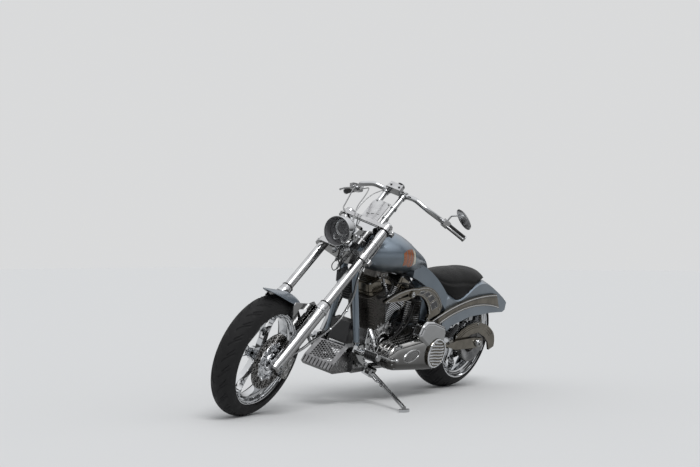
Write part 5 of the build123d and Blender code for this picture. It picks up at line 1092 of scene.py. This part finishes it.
keep(shape, "fillerCap", "chrome", crease=40)
print("badge and filler cap made")

# Coil cover under the tank, and the screws of the cases on both sides
shape = bmesh.new()
for half, deep, low, high in ((58, 44, 700, 752), (20, 52, 712, 740)):
    slab(shape, 902, (half, deep, 10), ((low, 0.92), (low + 4, 1.0), (high - 4, 1.0), (high, 0.94)))
keep(shape, "coilCover", "finAlloy", bevel=1.0)
shape = bmesh.new()
bolts(shape, ((860, 43, 724), (944, 43, 724), (902, 51, 724)), yWay, 6, 6)
for x in (868, 930):
    turn(shape, [(0, 9), (26, 9), (28, 6), (40, 6), (40, 0)], (x, 30, 704), (0, 0.4, -1), 24)
bolts(shape, ringSpots((836, -105, 352), 66, 6, 20), -yWay, 5.5, 5)
turn(shape, [(0, 40), (3, 40), (5, 37), (5, 22), (3, 20), (3, 0)], (836, -105.5, 352), -yWay)
for side in (1, -1):
    bolts(shape, [(x, side * 77.5, z) for x, z in ((720, 290), (720, 396), (648, 420), (540, 414), (520, 286),
                                                   (620, 280))], (0, side, 0), 6, 6)
keep(shape, "coilTrim", "chrome", crease=34)

# Strakes: bright lines along both edges and a dark one beside each
strake = {"face": 174.2, "lines": [((527, 468), (195, 578), (-159, 610), 2.6, "rimChrome"),
                                   ((-211, 533), (191, 539), (426, 464), 2.6, "rimChrome"),
                                   ((500, 466), (193, 569), (-166, 598), 1.3, "satinBlack"),
                                   ((-200, 543), (191, 549), (440, 472), 1.3, "satinBlack")]}
for side, sideName in ((1, "Left"), (-1, "Right")):
    for index, (*arc, radius, look) in enumerate(strake["lines"]):
        cable("strakeLine" + sideName + str(index), [(x, side * strake["face"], z) for x, z in arcThrough(*arc, 18)],
              radius, look)

# Forward controls: pegs with rubbers on both sides; shift rod, lever and clevis block on the left
controls = {
    "peg": (1128.0, 0.0, 336.0), "knuckles": (8, 6.5, 7, 12),
    "lever": [(1070, 262), (1086, 256), (1150, 292), (1206, 352), (1196, 362), (1140, 308)],
    "rod": [(1133, 190, 360), (1054, 215, 333), (930, 235, 294), (893, 240, 293)],
    "clevis": [(846, 360), (858, 356), (914, 350), (920, 358), (914, 366), (862, 375), (850, 374)],
    "lines": [[(1066, 190, 392), (1080, 206, 366), (1060, 208, 330), (1020, 172, 300), (990, 128, 288)],
              [(1058, 168, 440), (1030, 160, 450), (1000, 140, 420), (1004, 132, 360), (1008, 130, 332)],
              [(1030, 140, 304), (1002, 156, 306), (962, 150, 330), (930, 128, 352), (914, 100, 360)]],
}
shape, rubbers = bmesh.new(), bmesh.new()
for side in (1, -1):
    peg, out = Vector(controls["peg"]), Vector((0, side, 0))
    for k in range(6):
        turn(rubbers, [(0, 15.5), (0, 19), (1.5, 20), (8, 20), (9.5, 19), (9.5, 15.5)],
             peg + out * (196 + 13.5 * k), out, 40, closed=True)
    turn(shape, [(0, 16), (3, 18), (6, 17), (9, 11), (10, 0)], peg + out * 271.8, out, 40)
    turn(shape, [(0, 15.5), (0, 22), (6, 22), (9, 19), (9, 15.5)], peg + out * 152.5, out, 40, closed=True)
    bolts(shape, [(x, side * 151.5, z) for x, z in ((1072, 292), (1098, 262), (1142, 352))], out, 6.5, 6)
    turn(shape, [(0, 15), (14, 15), (16, 12), (22, 12), (24, 9), (24, 0)], (1080, side * 157, 268), out, 32)
    plate(shape, controls["lever"], 8.0, sidePlace(0, side * 166, 0, side))
    turn(shape, [(0, 7), (16, 7), (18, 9.5), (52, 9.5), (54, 8), (56, 0)], (1199, side * 168, 354), out, 32)
rod = [Vector(spot) for spot in controls["rod"]]
for first, second in zip(rod, rod[1:]):
    turn(shape, [(0, 4.2), ((second - first).length, 4.2)], first, second - first, 16)
for spot, radius in zip(rod, controls["knuckles"]):
    turn(shape, [(-radius * cos(pi * k / 10), radius * sin(pi * k / 10)) for k in range(11)], spot, (0.3, 1, 0.1), 24)
turn(shape, [(0, 5), (60, 5)], (893, 238, 293), -yWay, 16)
plate(shape, controls["clevis"], 7.0, sidePlace(0, 226, 0))
bolt(shape, (857, 232, 366), yWay, 7, 6, "hex")
bolt(shape, (909, 232, 358), yWay, 5, 5, "dome")
turn(shape, [(0, 6), (40, 6)], (857, 232, 366), -yWay, 16)
plate(shape, [(1050, 352), (1086, 352), (1082, 452), (1066, 462), (1050, 452)], 6.0, sidePlace(0, 146, 0))
turn(shape, [(-46, 7), (-40, 12), (-34, 14), (18, 14), (22, 10.5), (34, 10.5), (36, 6), (52, 5), (54, 8), (60, 8),
             (60, 0)], (1064, 166, 420), (0.05, 0.62, -0.78), 32)
for spot, way in (((1054, 152, 444), yWay), ((1078, 152, 442), yWay), ((1060, 152, 372), yWay),
                  ((1070, 176, 396), (1, 0.2, 0)), ((1056, 190, 402), (-1, 0.2, 0))):
    bolt(shape, spot, way, 6, 8, "hex")
for x, y, z, radius in ((1030, 128, 300, 12), (1006, 132, 330, 9), (1022, 136, 364, 10), (984, 126, 290, 8)):
    turn(shape, [(-24, radius), (6, radius), (8, radius * 0.8), (14, radius * 0.7), (15, 0)], (x, y, z), yWay, 24)
    bolt(shape, (x, y + 13, z), yWay, radius * 0.6, 5)
keep(shape, "controlTrim", "chrome", crease=34)
keep(rubbers, "pegRubbers", "gripRubber")
for index, points in enumerate(controls["lines"]):
    cable("controlLine" + str(index), points, 3.6, "brushedSteel")
print("forward controls made")

# Side stand: return spring and its hooks, running along the front of the leg
stand = {"pivot": (974.0, 150.0, 208.0), "foldWay": (-0.97, 0.16, -0.06), "turns": 15, "coil": 6.0, "wire": 1.4}
pivot, foldWay = Vector(stand["pivot"]), Vector(stand["foldWay"])
foot = bike @ Vector((1191, 555, 0))
legWay = (bike.inverted() @ Vector((foot.x, foot.y, 0.02)) - pivot).normalized()
offLeg = -(foldWay - legWay * foldWay.dot(legWay)).normalized()
across = legWay.cross(offLeg)
steps = stand["turns"] * 10
points = []
for k in range(steps + 1):
    off, aside = polar(stand["coil"], 36 * k)
    points.append(pivot + legWay * (44 + 72 * k / steps) + offLeg * (19 + off) + across * aside)
cable("standSpring", points, stand["wire"], "chrome", "stand", kind="POLY")
shape = bmesh.new()
for reach in (34, 126):
    turn(shape, [(0, 4), (22, 4), (23, 3), (23, 0)], pivot + legWay * reach, offLeg, 16)
for reach in (30, 114):
    turn(shape, [(0, 3), (18, 3)], pivot + legWay * reach + offLeg * 19, legWay, 12)
turn(shape, [(0, 11.2), (0, 13), (8, 13), (8, 11.2)], pivot + legWay * 150, legWay, 32, closed=True)
keep(shape, "standTrim", "chrome", "stand")

# Right side: clamps and shields on the pipes, ribs on the air cleaner
cleaner = {"middle": (836, 628), "posts": 14, "ribs": 7}
shape = bmesh.new()
for x in (636, 420, 172):
    turn(shape, [(0, 36.4), (0, 39), (14, 39), (14, 36.4)], (x, -206, 240), -xWay, 64, closed=True)
    bolt(shape, (x - 7, -206, 279), zWay, 4, 5)
for x, z in ((960, 600), (700, 596)):
    turn(shape, [(0, 22.4), (0, 31), (6, 31), (8, 25), (16, 24.4), (16, 22.4)], (x, -88.8, z), -yWay, 48, closed=True)
    bolts(shape, [(x + 27 * cos(2.1 * k), -94, z + 27 * sin(2.1 * k)) for k in range(3)], -yWay, 4, 6, "hex")
x, z = cleaner["middle"]
turn(shape, [(0, 58), (4, 58), (6, 54), (6, 46), (3, 42), (3, 0)], (x, -165.5, z), -yWay, 72)
bolts(shape, [(x + 50 * cos(2.1 * k + 0.5), -171, z + 50 * sin(2.1 * k + 0.5)) for k in range(3)], -yWay, 5, 4)
keep(shape, "rightTrim", "chrome", crease=34)
shape = bmesh.new()
for spot in ringSpots((x, -106, z), 70, cleaner["posts"]):
    turn(shape, [(0, 5.5), (8, 5.5)], spot, -yWay, 12)
for k in range(cleaner["ribs"]):
    radius = 80 - 1.6 * k
    turn(shape, [(0, 68), (0, radius), (2, radius), (2, 68)], (x, -103 - 7.5 * k, z), -yWay, 72, closed=True)
keep(shape, "cleanerRibs", "satinBlack")

# Rear: axle caps and guard screws, and the screws of the chin grille
shape = bmesh.new()
for side in (1, -1):
    turn(shape, [(-30, 24), (-2, 24), (2, 22), (5, 16), (6.5, 8), (7, 0)], (0, side * 212, 328), (0, side, 0), 48)
    bolts(shape, [(x, side * 101.5, z) for x, z in ((1180, 322), (1244, 266), (1200, 222), (1140, 226))],
          (0, side, 0), 5, 4)
bolts(shape, ((232, 184.5, 374), (11, 184.5, 440), (-188, 184.5, 372)), yWay, 5.5, 5)
keep(shape, "rearTrim", "chrome", crease=34)
print("stand, right side and rear trimmed")
